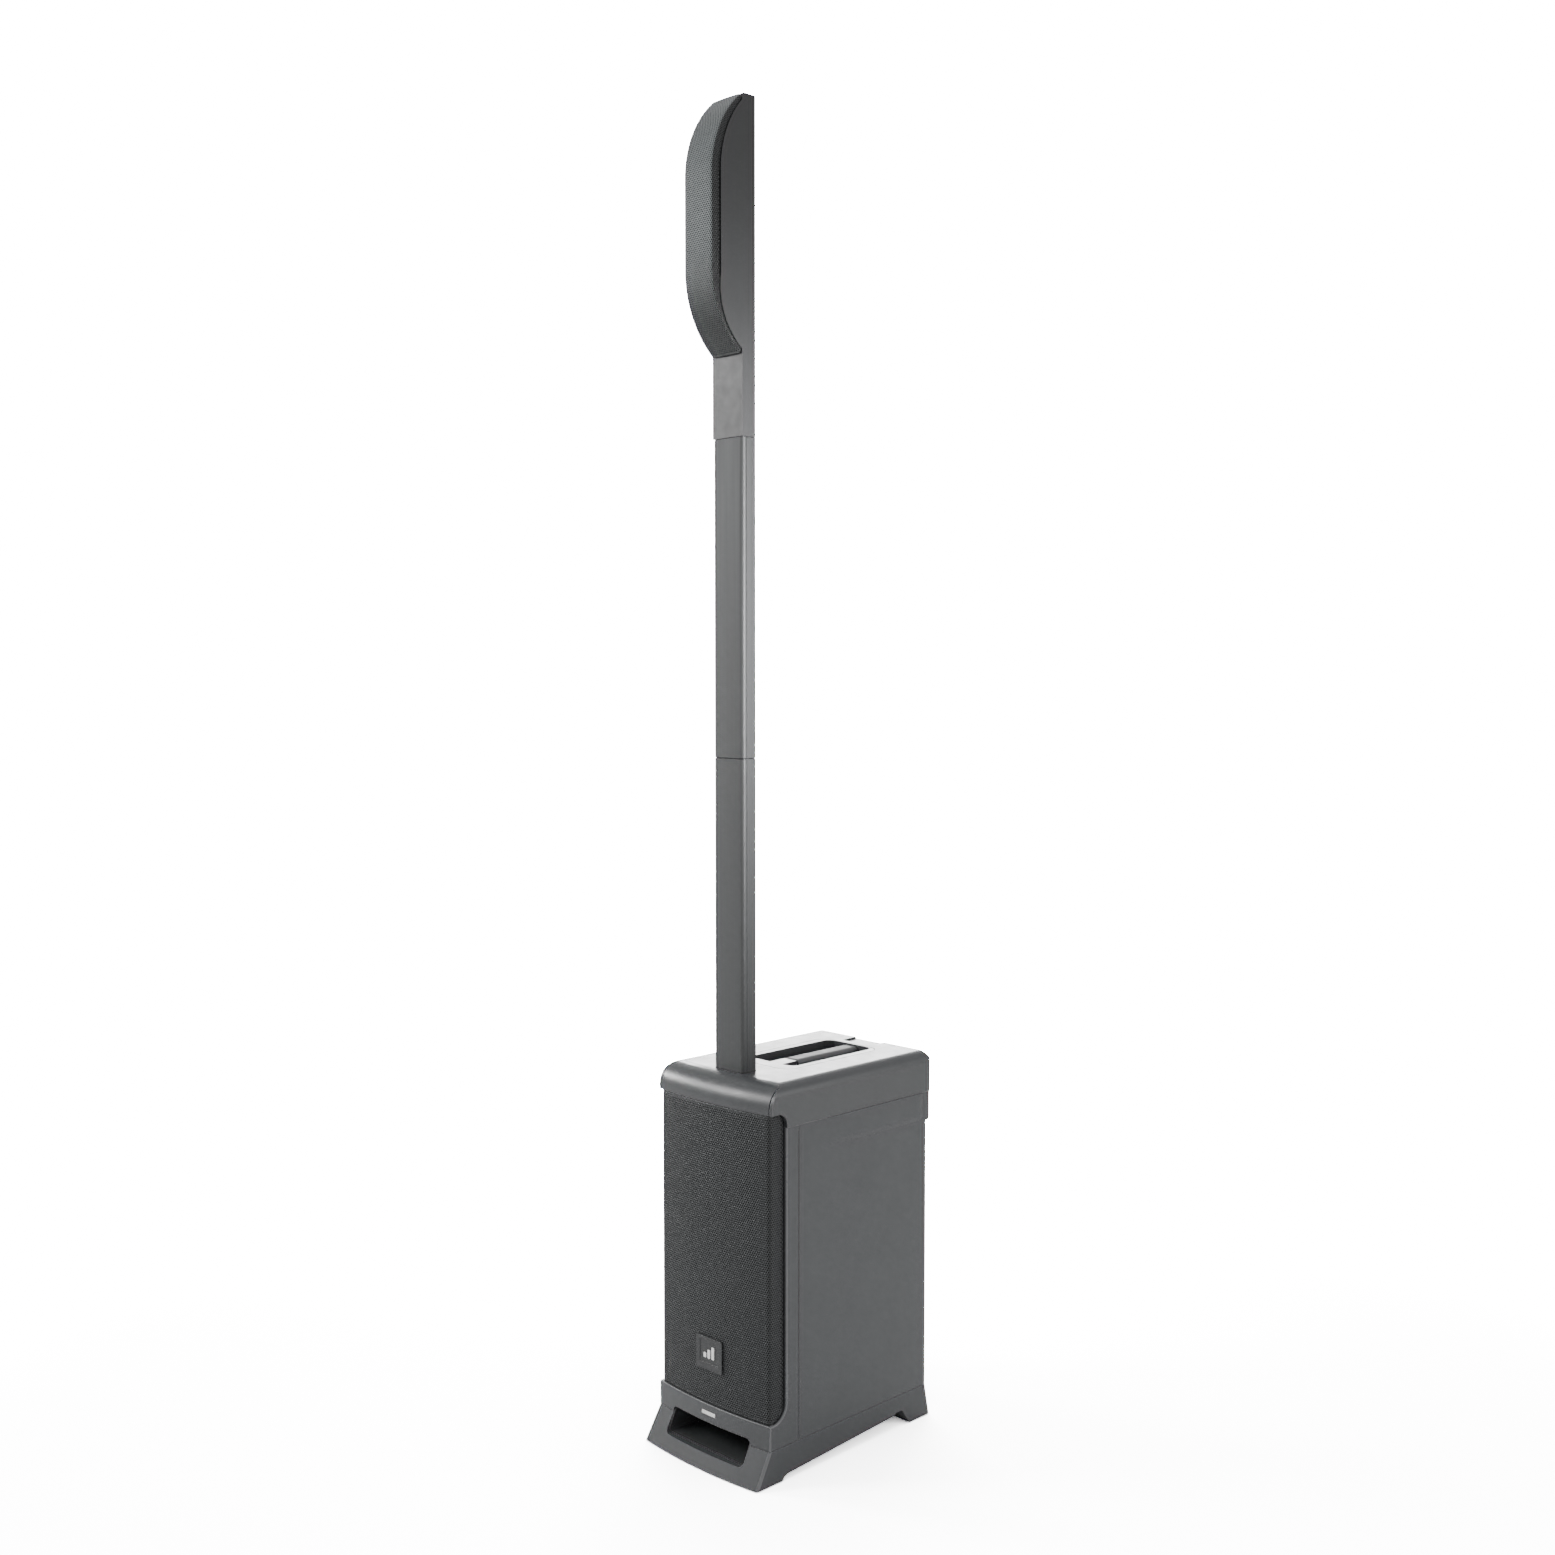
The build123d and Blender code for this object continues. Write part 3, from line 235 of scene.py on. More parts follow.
def chosen_edges(piece, chooser, width, finish=-1, segments=4):
    """Round of the given width on the edges whose two ends both satisfy chooser(x, y, z).

    finish is the place of the round's own material among the piece's materials, or -1 for its neighbours'."""
    mesh = piece.data
    points = np.empty(len(mesh.vertices) * 3)
    mesh.vertices.foreach_get("co", points)
    ends = np.empty(len(mesh.edges) * 2, dtype=np.int64)
    mesh.edges.foreach_get("vertices", ends)
    held = chooser(*points.reshape(-1, 3).T)[ends.reshape(-1, 2)].all(axis=1)
    name = "round_" + str(len(piece.modifiers))
    weights = mesh.attributes.new(name, "FLOAT", "EDGE")
    weights.data.foreach_set("value", held.astype(np.float32))
    bevel = piece.modifiers.new(name, "BEVEL")
    bevel.width = width
    bevel.segments = segments
    bevel.limit_method = "WEIGHT"
    bevel.edge_weight = name
    bevel.use_clamp_overlap = False
    bevel.material = finish
    return piece


def moulded_copy(node, width, material, body, segments=2, rounds=(), highlighted=()):
    """A CAD node's own shape with small rounds on its edges, standing for that node.

    rounds hold (chooser, width) for the edges that the mould rounds more, and the last list the same for
    those whose rounds are painted lighter, a painted highlight."""
    piece = welded_copy(node + "_moulding", node)
    for chooser, radius in highlighted:
        chosen_edges(piece, chooser, radius, finish=1)
    for chooser, radius in rounds:
        chosen_edges(piece, chooser, radius)
    rounded_edges(piece, width, segments)
    finish_piece(piece, material, body, (node,))
    if highlighted:
        piece.data.materials.append(edge_highlight_paint)
    return piece


def repaint(node, material):
    """Better finish on a CAD node that stays as it is."""
    piece = nodes[node]
    if not piece.material_slots:
        piece.data.materials.append(material)
    for place in piece.material_slots:
        place.material = material


# ------------------------------------------------------------------ outlines and paths
def arc_through(start, middle, end, count=24):
    """Points on the circle through three points, from the first to the last."""
    (ax, ay), (bx, by), (cx, cy) = start, middle, end
    double = 2.0 * (ax * (by - cy) + bx * (cy - ay) + cx * (ay - by))
    a2, b2, c2 = ax * ax + ay * ay, bx * bx + by * by, cx * cx + cy * cy
    ux = (a2 * (by - cy) + b2 * (cy - ay) + c2 * (ay - by)) / double
    uy = (a2 * (cx - bx) + b2 * (ax - cx) + c2 * (bx - ax)) / double
    first, half, last = (np.arctan2(q - uy, p - ux) for p, q in (start, middle, end))
    half = first + (half - first + pi) % (2 * pi) - pi
    last = half + (last - half + pi) % (2 * pi) - pi
    angle = np.linspace(first, last, count)
    radius = sqrt((ax - ux) ** 2 + (ay - uy) ** 2)
    return np.stack([ux + radius * np.cos(angle), uy + radius * np.sin(angle)], axis=-1)


class Path:
    """Plane path through dense points.  at(s) gives points, and normals(s) the left-hand normals, at
    arc lengths s, both by straight interpolation between the dense points."""

    def __init__(self, points):
        steps = np.hypot(*np.diff(points, axis=0).T)
        keep = np.concatenate([[True], steps > 1e-9])
        self.points = points[keep]
        self.marks = np.concatenate([[0.0], np.cumsum(np.hypot(*np.diff(self.points, axis=0).T))])
        self.length = self.marks[-1]
        tangent = np.gradient(self.points, self.marks, axis=0)
        tangent /= np.linalg.norm(tangent, axis=1, keepdims=True)
        self.normal_points = np.stack([-tangent[:, 1], tangent[:, 0]], axis=-1)

    def at(self, s):
        return np.stack([np.interp(s, self.marks, self.points[:, k]) for k in (0, 1)], axis=-1)

    def normals(self, s):
        normal = np.stack([np.interp(s, self.marks, self.normal_points[:, k]) for k in (0, 1)], axis=-1)
        return normal / np.linalg.norm(normal, axis=-1, keepdims=True)


def blend_corner(start, corner, end, count=9):
    """Round corner as a quadratic blend from start to end, pulled towards corner."""
    t = np.linspace(0.0, 1.0, count)[:, None]
    return (1 - t) ** 2 * np.array(start) + 2 * t * (1 - t) * np.array(corner) + t ** 2 * np.array(end)


def round_rectangle(half_width, half_depth, radius, corner_points=7):
    """Closed outline of a rectangle with round corners, anticlockwise, as (n, 2) points."""
    turn = np.linspace(0.0, pi / 2, corner_points)
    corners = []
    for quarter, (sx, sy) in enumerate(((1, 1), (-1, 1), (-1, -1), (1, -1))):
        angle = turn + quarter * pi / 2
        centre = np.array([sx * (half_width - radius), sy * (half_depth - radius)])
        corners.append(centre + radius * np.stack([np.cos(angle), np.sin(angle)], axis=-1))
    return np.concatenate(corners)


# ------------------------------------------------------------------ perforated sheets
def perforated(name, place, width, height, pitch, hole, inside):
    """Sheet whose holes stand on a triangular lattice.

    Each lattice point owns a hexagonal cell; the metal is the ring between the cell's edge and the
    six-sided hole, so neighbours share their corner points.  place(u, v) bends the flat sheet into
    shape, and inside(u, v) says which cells the sheet has."""
    step = pitch * sqrt(3) / 2
    rows, columns = int(height / step) + 2, int(width / pitch) + 2
    row, column = np.meshgrid(np.arange(rows), np.arange(columns), indexing="ij")
    u = (column + 0.5 * (row % 2)) * pitch + (width - (columns - 1) * pitch) / 2 - pitch / 4
    v = row * step + (height - (rows - 1) * step) / 2
    held = inside(u, v)
    u, v = u[held], v[held]
    angle = radians(30.0) + np.arange(6) * pi / 3
    ring = np.stack([np.cos(angle), np.sin(angle)], axis=-1)
    centres = np.stack([u, v], axis=-1)[:, None, :]
    cell = (centres + ring * (pitch / sqrt(3))).reshape(-1, 2)
    rim = (centres + ring * (hole / 2)).reshape(-1, 2)
    _, first, shared = np.unique(np.round(cell / (pitch * 0.01)).astype(np.int64), axis=0,
                                 return_index=True, return_inverse=True)
    shared = shared.reshape(-1, 6)
    corners = cell[first]
    rims = np.arange(len(rim)).reshape(-1, 6) + len(corners)
    following = np.roll(np.arange(6), -1)
    faces = np.stack([shared, shared[:, following], rims[:, following], rims], axis=-1).reshape(-1, 4)
    flat = np.concatenate([corners, rim])
    return link_piece(name, place(flat[:, 0], flat[:, 1]), faces)


# ------------------------------------------------------------------ materials
def shader_group(name, inputs, outputs):
    """Empty shader node group with named inputs (name, value) and float or vector outputs."""
    group = bpy.data.node_groups.new(name, "ShaderNodeTree")
    for label, value in inputs:
        socket = group.interface.new_socket(label, in_out="INPUT", socket_type="NodeSocketFloat")
        socket.default_value = value
    for label, kind in outputs:
        group.interface.new_socket(label, in_out="OUTPUT", socket_type=kind)
    return group, group.nodes.new("NodeGroupInput"), group.nodes.new("NodeGroupOutput")


def math_node(tree, operation, first, second):
    """Math node; each operand is a socket or a number."""
    node = tree.nodes.new("ShaderNodeMath")
    node.operation = operation
    for index, operand in enumerate((first, second)):
        if isinstance(operand, (int, float)):
            node.inputs[index].default_value = operand
        else:
            tree.links.new(operand, node.inputs[index])
    return node.outputs[0]


def noise(tree, vector, scale, detail=2.0, roughness=0.5):
    """Noise texture's value; scale is a socket or a number of features per metre."""
    node = tree.nodes.new("ShaderNodeTexNoise")
    node.inputs["Detail"].default_value = detail
    node.inputs["Roughness"].default_value = roughness
    tree.links.new(vector, node.inputs["Vector"])
    if isinstance(scale, (int, float)):
        node.inputs["Scale"].default_value = scale
    else:
        tree.links.new(scale, node.inputs["Scale"])
    return node.outputs[0]


def make_grain_group():
    """Moulded plastic or powder coat: a pebbled height, slow drift of tone and patches of gloss."""
    group, entry, leave = shader_group(
        "moulded_grain", [("Grain", 1400.0), ("Patches", 14.0)],
        [("Height", "NodeSocketFloat"), ("Tone", "NodeSocketFloat"), ("Gloss", "NodeSocketFloat")])
    place = group.nodes.new("ShaderNodeTexCoord").outputs["Object"]
    pebble = group.nodes.new("ShaderNodeTexVoronoi")
    group.links.new(place, pebble.inputs["Vector"])
    group.links.new(entry.outputs["Grain"], pebble.inputs["Scale"])
    fine = noise(group, place, entry.outputs["Grain"], 1.0)
    height = math_node(group, "ADD", math_node(group, "MULTIPLY", pebble.outputs["Distance"], 0.7), fine)
    group.links.new(height, leave.inputs["Height"])
    group.links.new(noise(group, place, entry.outputs["Patches"], 3.0), leave.inputs["Tone"])
    group.links.new(noise(group, place, 55.0, 4.0, 0.6), leave.inputs["Gloss"])
    return group


def make_edge_group():
    """Painted highlight where a surface turns sharply, standing in for glints on its rounded edges: 0 on
    flats, up to 1 on edges.
    """
    group, entry, leave = shader_group("painted_edge_highlight", [("Reach", 0.0014), ("Breakup", 90.0)],
                                       [("Edge", "NodeSocketFloat")])
    bevel = group.nodes.new("ShaderNodeBevel")
    bevel.samples = 4
    group.links.new(entry.outputs["Reach"], bevel.inputs["Radius"])
    geometry = group.nodes.new("ShaderNodeNewGeometry")
    dot = group.nodes.new("ShaderNodeVectorMath")
    dot.operation = "DOT_PRODUCT"
    group.links.new(bevel.outputs[0], dot.inputs[0])
    group.links.new(geometry.outputs["Normal"], dot.inputs[1])
    turned = math_node(group, "SUBTRACT", 1.0, dot.outputs["Value"])
    place = group.nodes.new("ShaderNodeTexCoord").outputs["Object"]
    broken = noise(group, place, entry.outputs["Breakup"], 3.0)
    scaled = math_node(group, "MULTIPLY", math_node(group, "MULTIPLY", turned, 7.0), broken)
    group.links.new(math_node(group, "MINIMUM", scaled, 1.0), leave.inputs["Edge"])
    return group


def make_drawn_group():
    """Drawn metal: faint lines that run along Z, as a height and a change of gloss."""
    group, entry, leave = shader_group("drawn_lines", [("Fineness", 1500.0)],
                                       [("Height", "NodeSocketFloat"), ("Gloss", "NodeSocketFloat")])
    place = group.nodes.new("ShaderNodeTexCoord").outputs["Object"]
    stretch = group.nodes.new("ShaderNodeVectorMath")
    stretch.operation = "MULTIPLY"
    stretch.inputs[1].default_value = (1.0, 1.0, 0.012)
    group.links.new(place, stretch.inputs[0])
    lines = noise(group, stretch.outputs[0], entry.outputs["Fineness"], 2.0)
    group.links.new(lines, leave.inputs["Height"])
    group.links.new(noise(group, stretch.outputs[0], 320.0, 3.0), leave.inputs["Gloss"])
    return group


grain_group = make_grain_group()
edge_highlight_group = make_edge_group()
drawn_group = make_drawn_group()


def place_group(tree, group, **values):
    """Instance of a shader group with some of its inputs set."""
    node = tree.nodes.new("ShaderNodeGroup")
    node.node_tree = group
    for label, value in values.items():
        node.inputs[label].default_value = value
    return node


def mixed_colour(tree, factor, first, second):
    """Colour that goes from first to second as factor goes from 0 to 1."""
    node = tree.nodes.new("ShaderNodeMix")
    node.data_type = "RGBA"
    tree.links.new(factor, node.inputs["Factor"])
    for index, colour in ((6, first), (7, second)):
        if isinstance(colour, tuple):
            node.inputs[index].default_value = (*colour, 1.0)
        else:
            tree.links.new(colour, node.inputs[index])
    return node.outputs[2]


def stretched(tree, value, low, high):
    """Maps the middle of a noise value's range onto low..high."""
    node = tree.nodes.new("ShaderNodeMapRange")
    node.inputs["From Min"].default_value = 0.3
    node.inputs["From Max"].default_value = 0.7
    node.inputs["To Min"].default_value = low
    node.inputs["To Max"].default_value = high
    tree.links.new(value, node.inputs["Value"])
    return node.outputs["Result"]


def shade(colour, factor):
    """Colour times factor, no brighter than white."""
    return tuple(min(1.0, channel * factor) for channel in colour)


def new_material(name):
    """Empty node material, with its node tree and its surface shader."""
    material = bpy.data.materials.new(name)
    material.use_nodes = True
    return material, material.node_tree, material.node_tree.nodes["Principled BSDF"]


def studio_material():
    """Matt white studio paint, washed out to white where it is seen directly, more so far away."""
    material, tree, surface = new_material("studio_white")
    grain = place_group(tree, grain_group, Patches=1.5)
    base = mixed_colour(tree, grain.outputs["Tone"], (0.90, 0.90, 0.90), (0.92, 0.92, 0.92))
    seen = tree.nodes.new("ShaderNodeLightPath").outputs["Is Camera Ray"]
    away = tree.nodes.new("ShaderNodeVectorMath")
    away.operation = "LENGTH"
    tree.links.new(tree.nodes.new("ShaderNodeTexCoord").outputs["Object"], away.inputs[0])
    far = smooth_rise(tree, away.outputs["Value"], 1.2, 4.0)
    wash = mixed_colour(tree, far, (studio_wash,) * 3, (wall_wash,) * 3)
    washed = mixed_colour(tree, seen, base, wash)
    tree.links.new(washed, surface.inputs["Base Color"])
    surface.inputs["Roughness"].default_value = 0.7
    surface.inputs["Specular IOR Level"].default_value = 0.1
    return material


def smooth_rise(tree, value, low, high):
    """0 below one value, 1 above another, with a smooth rise between them."""
    span = tree.nodes.new("ShaderNodeMapRange")
    span.interpolation_type = "SMOOTHSTEP"
    span.inputs["From Min"].default_value = low
    span.inputs["From Max"].default_value = high
    tree.links.new(value, span.inputs["Value"])
    return span.outputs["Result"]


def height_mask(tree, low, high):
    """Smooth rise between two heights."""
    split = tree.nodes.new("ShaderNodeSeparateXYZ")
    tree.links.new(tree.nodes.new("ShaderNodeTexCoord").outputs["Object"], split.inputs[0])
    return smooth_rise(tree, split.outputs["Z"], low, high)


def bump_from(tree, surface, height, strength, depth):
    """Small relief of the given depth in metres, from a height value."""
    bump = tree.nodes.new("ShaderNodeBump")
    bump.inputs["Strength"].default_value = strength
    bump.inputs["Distance"].default_value = depth
    tree.links.new(height, bump.inputs["Height"])
    tree.links.new(bump.outputs["Normal"], surface.inputs["Normal"])


def moulded_material(name, colour, roughness, grain=1400.0, depth=0.00006, spread=0.10, edge_highlight=1.5,
                     specular=0.5, height_tone_and_shade=()):
    """Grained plastic, rubber or powder coat with drifting tone, patchy gloss and edges painted lighter as a
    painted highlight.

    The edge factor says how much lighter the edges are painted, a painted highlight, and each height step is
    two heights and the colour's share above them, which paints light and shade along the height."""
    material, tree, surface = new_material(name)
    texture = place_group(tree, grain_group, Grain=grain)
    edge = place_group(tree, edge_highlight_group)
    body = mixed_colour(tree, texture.outputs["Tone"], shade(colour, 1 - spread), shade(colour, 1 + spread))
    for low, high, share in height_tone_and_shade:
        above = mixed_colour(tree, texture.outputs["Tone"], shade(colour, share * (1 - spread)),
                             shade(colour, share * (1 + spread)))
        body = mixed_colour(tree, height_mask(tree, low, high), body, above)
    # Painted highlight: the edges take a lighter copy of the colour.
    base = mixed_colour(tree, edge.outputs["Edge"], body, shade(colour, edge_highlight))
    tree.links.new(base, surface.inputs["Base Color"])
    gloss = stretched(tree, texture.outputs["Gloss"], roughness - 0.04, roughness + 0.05)
    tree.links.new(gloss, surface.inputs["Roughness"])
    surface.inputs["Specular IOR Level"].default_value = specular
    bump_from(tree, surface, texture.outputs["Height"], 0.6, depth)
    return material


def metal_material(name, colour, roughness, metallic=1.0, depth=0.00002):
    """Drawn or machined metal with fine lines along Z."""
    material, tree, surface = new_material(name)
    lines = place_group(tree, drawn_group)
    texture = place_group(tree, grain_group, Patches=6.0)
    edge = place_group(tree, edge_highlight_group)
    body = mixed_colour(tree, texture.outputs["Tone"], shade(colour, 0.94), shade(colour, 1.06))
    # Painted highlight: the edges take a lighter copy of the colour, 1.4 times as bright.
    base = mixed_colour(tree, edge.outputs["Edge"], body, shade(colour, 1.4))
    tree.links.new(base, surface.inputs["Base Color"])
    surface.inputs["Metallic"].default_value = metallic
    gloss = stretched(tree, lines.outputs["Gloss"], roughness - 0.04, roughness + 0.05)
    tree.links.new(gloss, surface.inputs["Roughness"])
    bump_from(tree, surface, lines.outputs["Height"], 0.5, depth)
    return material


def glowing_material(name, colour, strength):
    """Lit marks behind the display window, a little uneven as a backlight is."""
    material = moulded_material(name, colour, 0.4)
    tree = material.node_tree
    surface = tree.nodes["Principled BSDF"]
    texture = place_group(tree, grain_group, Patches=60.0)
    light = mixed_colour(tree, texture.outputs["Tone"], shade(colour, 0.8), shade(colour, 1.1))
    tree.links.new(light, surface.inputs["Emission Color"])
    surface.inputs["Emission Strength"].default_value = strength
    return material


cabinet_plastic = moulded_material("cabinet_plastic", (0.054, 0.056, 0.060), 0.44, edge_highlight=3.0)
plinth_plastic = moulded_material("plinth_plastic", (0.047, 0.049, 0.053), 0.46, edge_highlight=3.5)
cap_plastic = moulded_material("cap_plastic", (0.046, 0.048, 0.051), 0.32, edge_highlight=2.6, specular=0.62)
# Lighter colour for chosen edge rounds, a painted highlight where light would glint on them.
edge_highlight_paint = moulded_material("edge_highlight_paint", (0.125, 0.129, 0.135), 0.30, edge_highlight=1.3)
# The neck at the foot of the housing keeps the full colour, its own lighter tone; above it the colour is
# painted darker towards the top, a painted shade.
array_plastic = moulded_material("array_plastic", (0.039, 0.040, 0.042), 0.42,
                                 height_tone_and_shade=[(1.66, 1.80, 0.60), (1.80, 2.08, 0.38)])
grille_paint = moulded_material("grille_paint", (0.027, 0.029, 0.031), 0.58, grain=2600.0, edge_highlight=1.2)
# Painted light and shade: the grille is painted much lighter in the middle of its height and darker towards
# its lower and upper bends, where they turn from the light.
array_grille_paint = moulded_material("array_grille_paint", (0.040, 0.044, 0.045), 0.38, grain=2600.0,
                                      edge_highlight=1.2, height_tone_and_shade=[(1.735, 1.90, 4.6), (1.99, 2.085, 3.3)])
# Darker colour for the grille's side skirts, a painted shade where they turn into the recess beside the
# housing.
array_skirt_shade = moulded_material("array_skirt_shade", (0.014, 0.015, 0.016), 0.55, grain=2600.0,
                                    edge_highlight=1.1)
column_metal = metal_material("column_metal", (0.056, 0.058, 0.060), 0.50, metallic=0.30)
black_plastic = moulded_material("black_plastic", (0.014, 0.014, 0.015), 0.45)
duct_plastic = moulded_material("duct_plastic", (0.036, 0.037, 0.039), 0.50)
rubber = moulded_material("rubber", (0.018, 0.018, 0.018), 0.75, grain=900.0)
grip_rubber = moulded_material("grip_rubber", (0.075, 0.077, 0.080), 0.55, grain=900.0)
foam = moulded_material("foam", (0.010, 0.010, 0.010), 0.95, grain=500.0, depth=0.0006, specular=0.2)
liner_cloth = moulded_material("liner_cloth", (0.016, 0.017, 0.017), 0.9, grain=1500.0, depth=0.0003,
                               specular=0.2)
white_print = moulded_material("white_print", (0.80, 0.80, 0.79), 0.45, edge_highlight=1.0, spread=0.03)
badge_grey = moulded_material("badge_grey", (0.024, 0.025, 0.027), 0.45, grain=3000.0, edge_highlight=4.0)
panel_coat = moulded_material("panel_coat", (0.022, 0.0225, 0.024), 0.55, grain=2200.0)
knob_rubber = moulded_material("knob_rubber", (0.020, 0.020, 0.021), 0.60, grain=1600.0)
display_glass = moulded_material("display_glass", (0.006, 0.009, 0.012), 0.12, grain=400.0,
                                 depth=0.00001)
display_glow = glowing_material("display_glow", (0.25, 0.62, 0.85), 1.6)
screw_steel = metal_material("screw_steel", (0.05, 0.05, 0.052), 0.40)
bright_steel = metal_material("bright_steel", (0.55, 0.55, 0.56), 0.30)
gold_plate = metal_material("gold_plate", (0.80, 0.58, 0.26), 0.25)
copper_wire = metal_material("copper_wire", (0.72, 0.36, 0.20), 0.35)
heatsink_metal = metal_material("heatsink_metal", (0.30, 0.30, 0.31), 0.45)
cone_paper = moulded_material("cone_paper", (0.030, 0.030, 0.031), 0.80, grain=700.0, depth=0.0002)
baffle_paint = moulded_material("baffle_paint", (0.020, 0.019, 0.018), 0.80, grain=500.0, depth=0.0002)
ferrite = moulded_material("ferrite", (0.045, 0.045, 0.047), 0.70, grain=800.0)
spider_cloth = moulded_material("spider_cloth", (0.42, 0.28, 0.10), 0.85, grain=1800.0, depth=0.0002)
board_lacquer = moulded_material("board_lacquer", (0.012, 0.09, 0.035), 0.35, grain=500.0)


# ------------------------------------------------------------------ the object's own values
plinth_top = 0.053
bezel_top = 0.092
seam_y = -0.106
cabinet_half = 0.127
cabinet_corner_y = -0.168
front_bow = 0.0095
column_half_width = 0.033
column_half_depth = 0.0155
column_wall = 0.003
column_centre_y = -0.1185
array_grille_half = 0.031
grille_low, grille_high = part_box("sub_grille")


def bow_y(x, corner_y, half_width):
    """Y of a front that bows forward: a shallow parabola, corner_y at the edges."""
    return corner_y - front_bow * (1.0 - (x / half_width) ** 2)


def rounded_outline(width, height, low_radius, high_radius, inset, across=220, up=30):
    """Closed outline of a panel with round corners, inset from its rim, as (n, 2) points.

    It runs anticlockwise from the lower right corner, with its straight sides sampled densely so
    that it can be bent."""
    low, high = max(low_radius - inset, 0.0003), max(high_radius - inset, 0.0003)
    corners = ((width - inset - low, inset + low, low, -1),
               (width - inset - high, height - inset - high, high, 0),
               (inset + high, height - inset - high, high, 1), (inset + low, inset + low, low, 2))
    counts = (up, across, up, across)
    arcs = []
    for x, y, radius, quarter in corners:
        angle = np.linspace(0.0, pi / 2, 8) + quarter * pi / 2
        arcs.append(np.array([x, y]) + radius * np.stack([np.cos(angle), np.sin(angle)], axis=-1))
    runs = []
    for index, count in enumerate(counts):
        start, end = arcs[index][-1], arcs[(index + 1) % 4][0]
        step = np.linspace(0.0, 1.0, count + 1)[1:-1, None]
        runs += [arcs[index], start + (end - start) * step]
    return np.concatenate(runs)


def rim_band(name, place, width, height, low_radius, high_radius, band):
    """Solid strip round the rim of a bent panel, as rings from its outer edge inwards."""
    rings = [rounded_outline(width, height, low_radius, high_radius, inset)
             for inset in (0.0, band / 2, band)]
    flat = np.stack(rings)[::-1]
    return grid_piece(name, place(flat[..., 0], flat[..., 1]), close_columns=True)


def panel_depth(u, v, width, height, low_radius, high_radius):
    """Distance of flat points from the rim of a panel with round corners, positive inside."""
    radius = np.where(v < height / 2, low_radius, high_radius)
    across = np.abs(u - width / 2) - (width / 2 - radius)
    up = np.abs(v - height / 2) - (height / 2 - radius)
    beyond = np.hypot(np.maximum(across, 0.0), np.maximum(up, 0.0))
    return radius - beyond - np.minimum(np.maximum(across, up), 0.0)


# ------------------------------------------------------------------ grille of the cabinet
def make_sub_grille():
    """Perforated steel: back along each side, round two tight corners, across the bowed front."""
    half, corner_y, rear_y, radius = grille_high[0], -0.165, grille_high[1], 0.006
    across = np.linspace(-half + radius, half - radius, 160)
    front = np.stack([across, bow_y(across, corner_y, half)], axis=-1)
    left = blend_corner((-half, corner_y + radius), (-half, corner_y + 0.0004), front[0])
    right = blend_corner(front[-1], (half, corner_y + 0.0004), (half, corner_y + radius))
    path = Path(np.concatenate([[(-half, rear_y)], left, front, right, [(half, rear_y)]]))
    width, height = path.length, grille_high[2] - grille_low[2]
    low_radius, high_radius, band = 0.024, 0.014, 0.0032

    def place(u, v, depth=0.0):
        plan = path.at(u) + path.normals(u) * depth
        return np.stack([plan[..., 0], plan[..., 1], grille_low[2] + v], axis=-1)

    for side, name in ((-1, "sub_grille_left"), (1, "sub_grille_right")):
        sheet = perforated(
            name, place, width, height, 0.0040, 0.0027,
            lambda u, v: (panel_depth(u, v, width, height, low_radius, high_radius) > band - 0.0012)
            & ((u - width / 2) * side >= (0.0 if side > 0 else 1e-7)))
        finish_piece(thicken(smooth(sheet), 0.0011), grille_paint, "base", ("sub_grille",))
    rim = rim_band("sub_grille_rim", place, width, height, low_radius, high_radius, band)
    finish_piece(thicken(smooth(rim), 0.0014), grille_paint, "base")
    u, v = np.meshgrid(np.linspace(0.002, width - 0.002, 90), np.linspace(0.002, height - 0.002, 12))
    liner = grid_piece("sub_grille_liner", place(u, v, 0.0020))
    finish_piece(thicken(smooth(liner), 0.0010), foam, "base", ("grille_foam",))


# ------------------------------------------------------------------ array
def on_skirt(x, y, z):
    """Sides of the array's grille, behind its round corners."""
    return np.abs(x) > array_grille_half - 0.0010


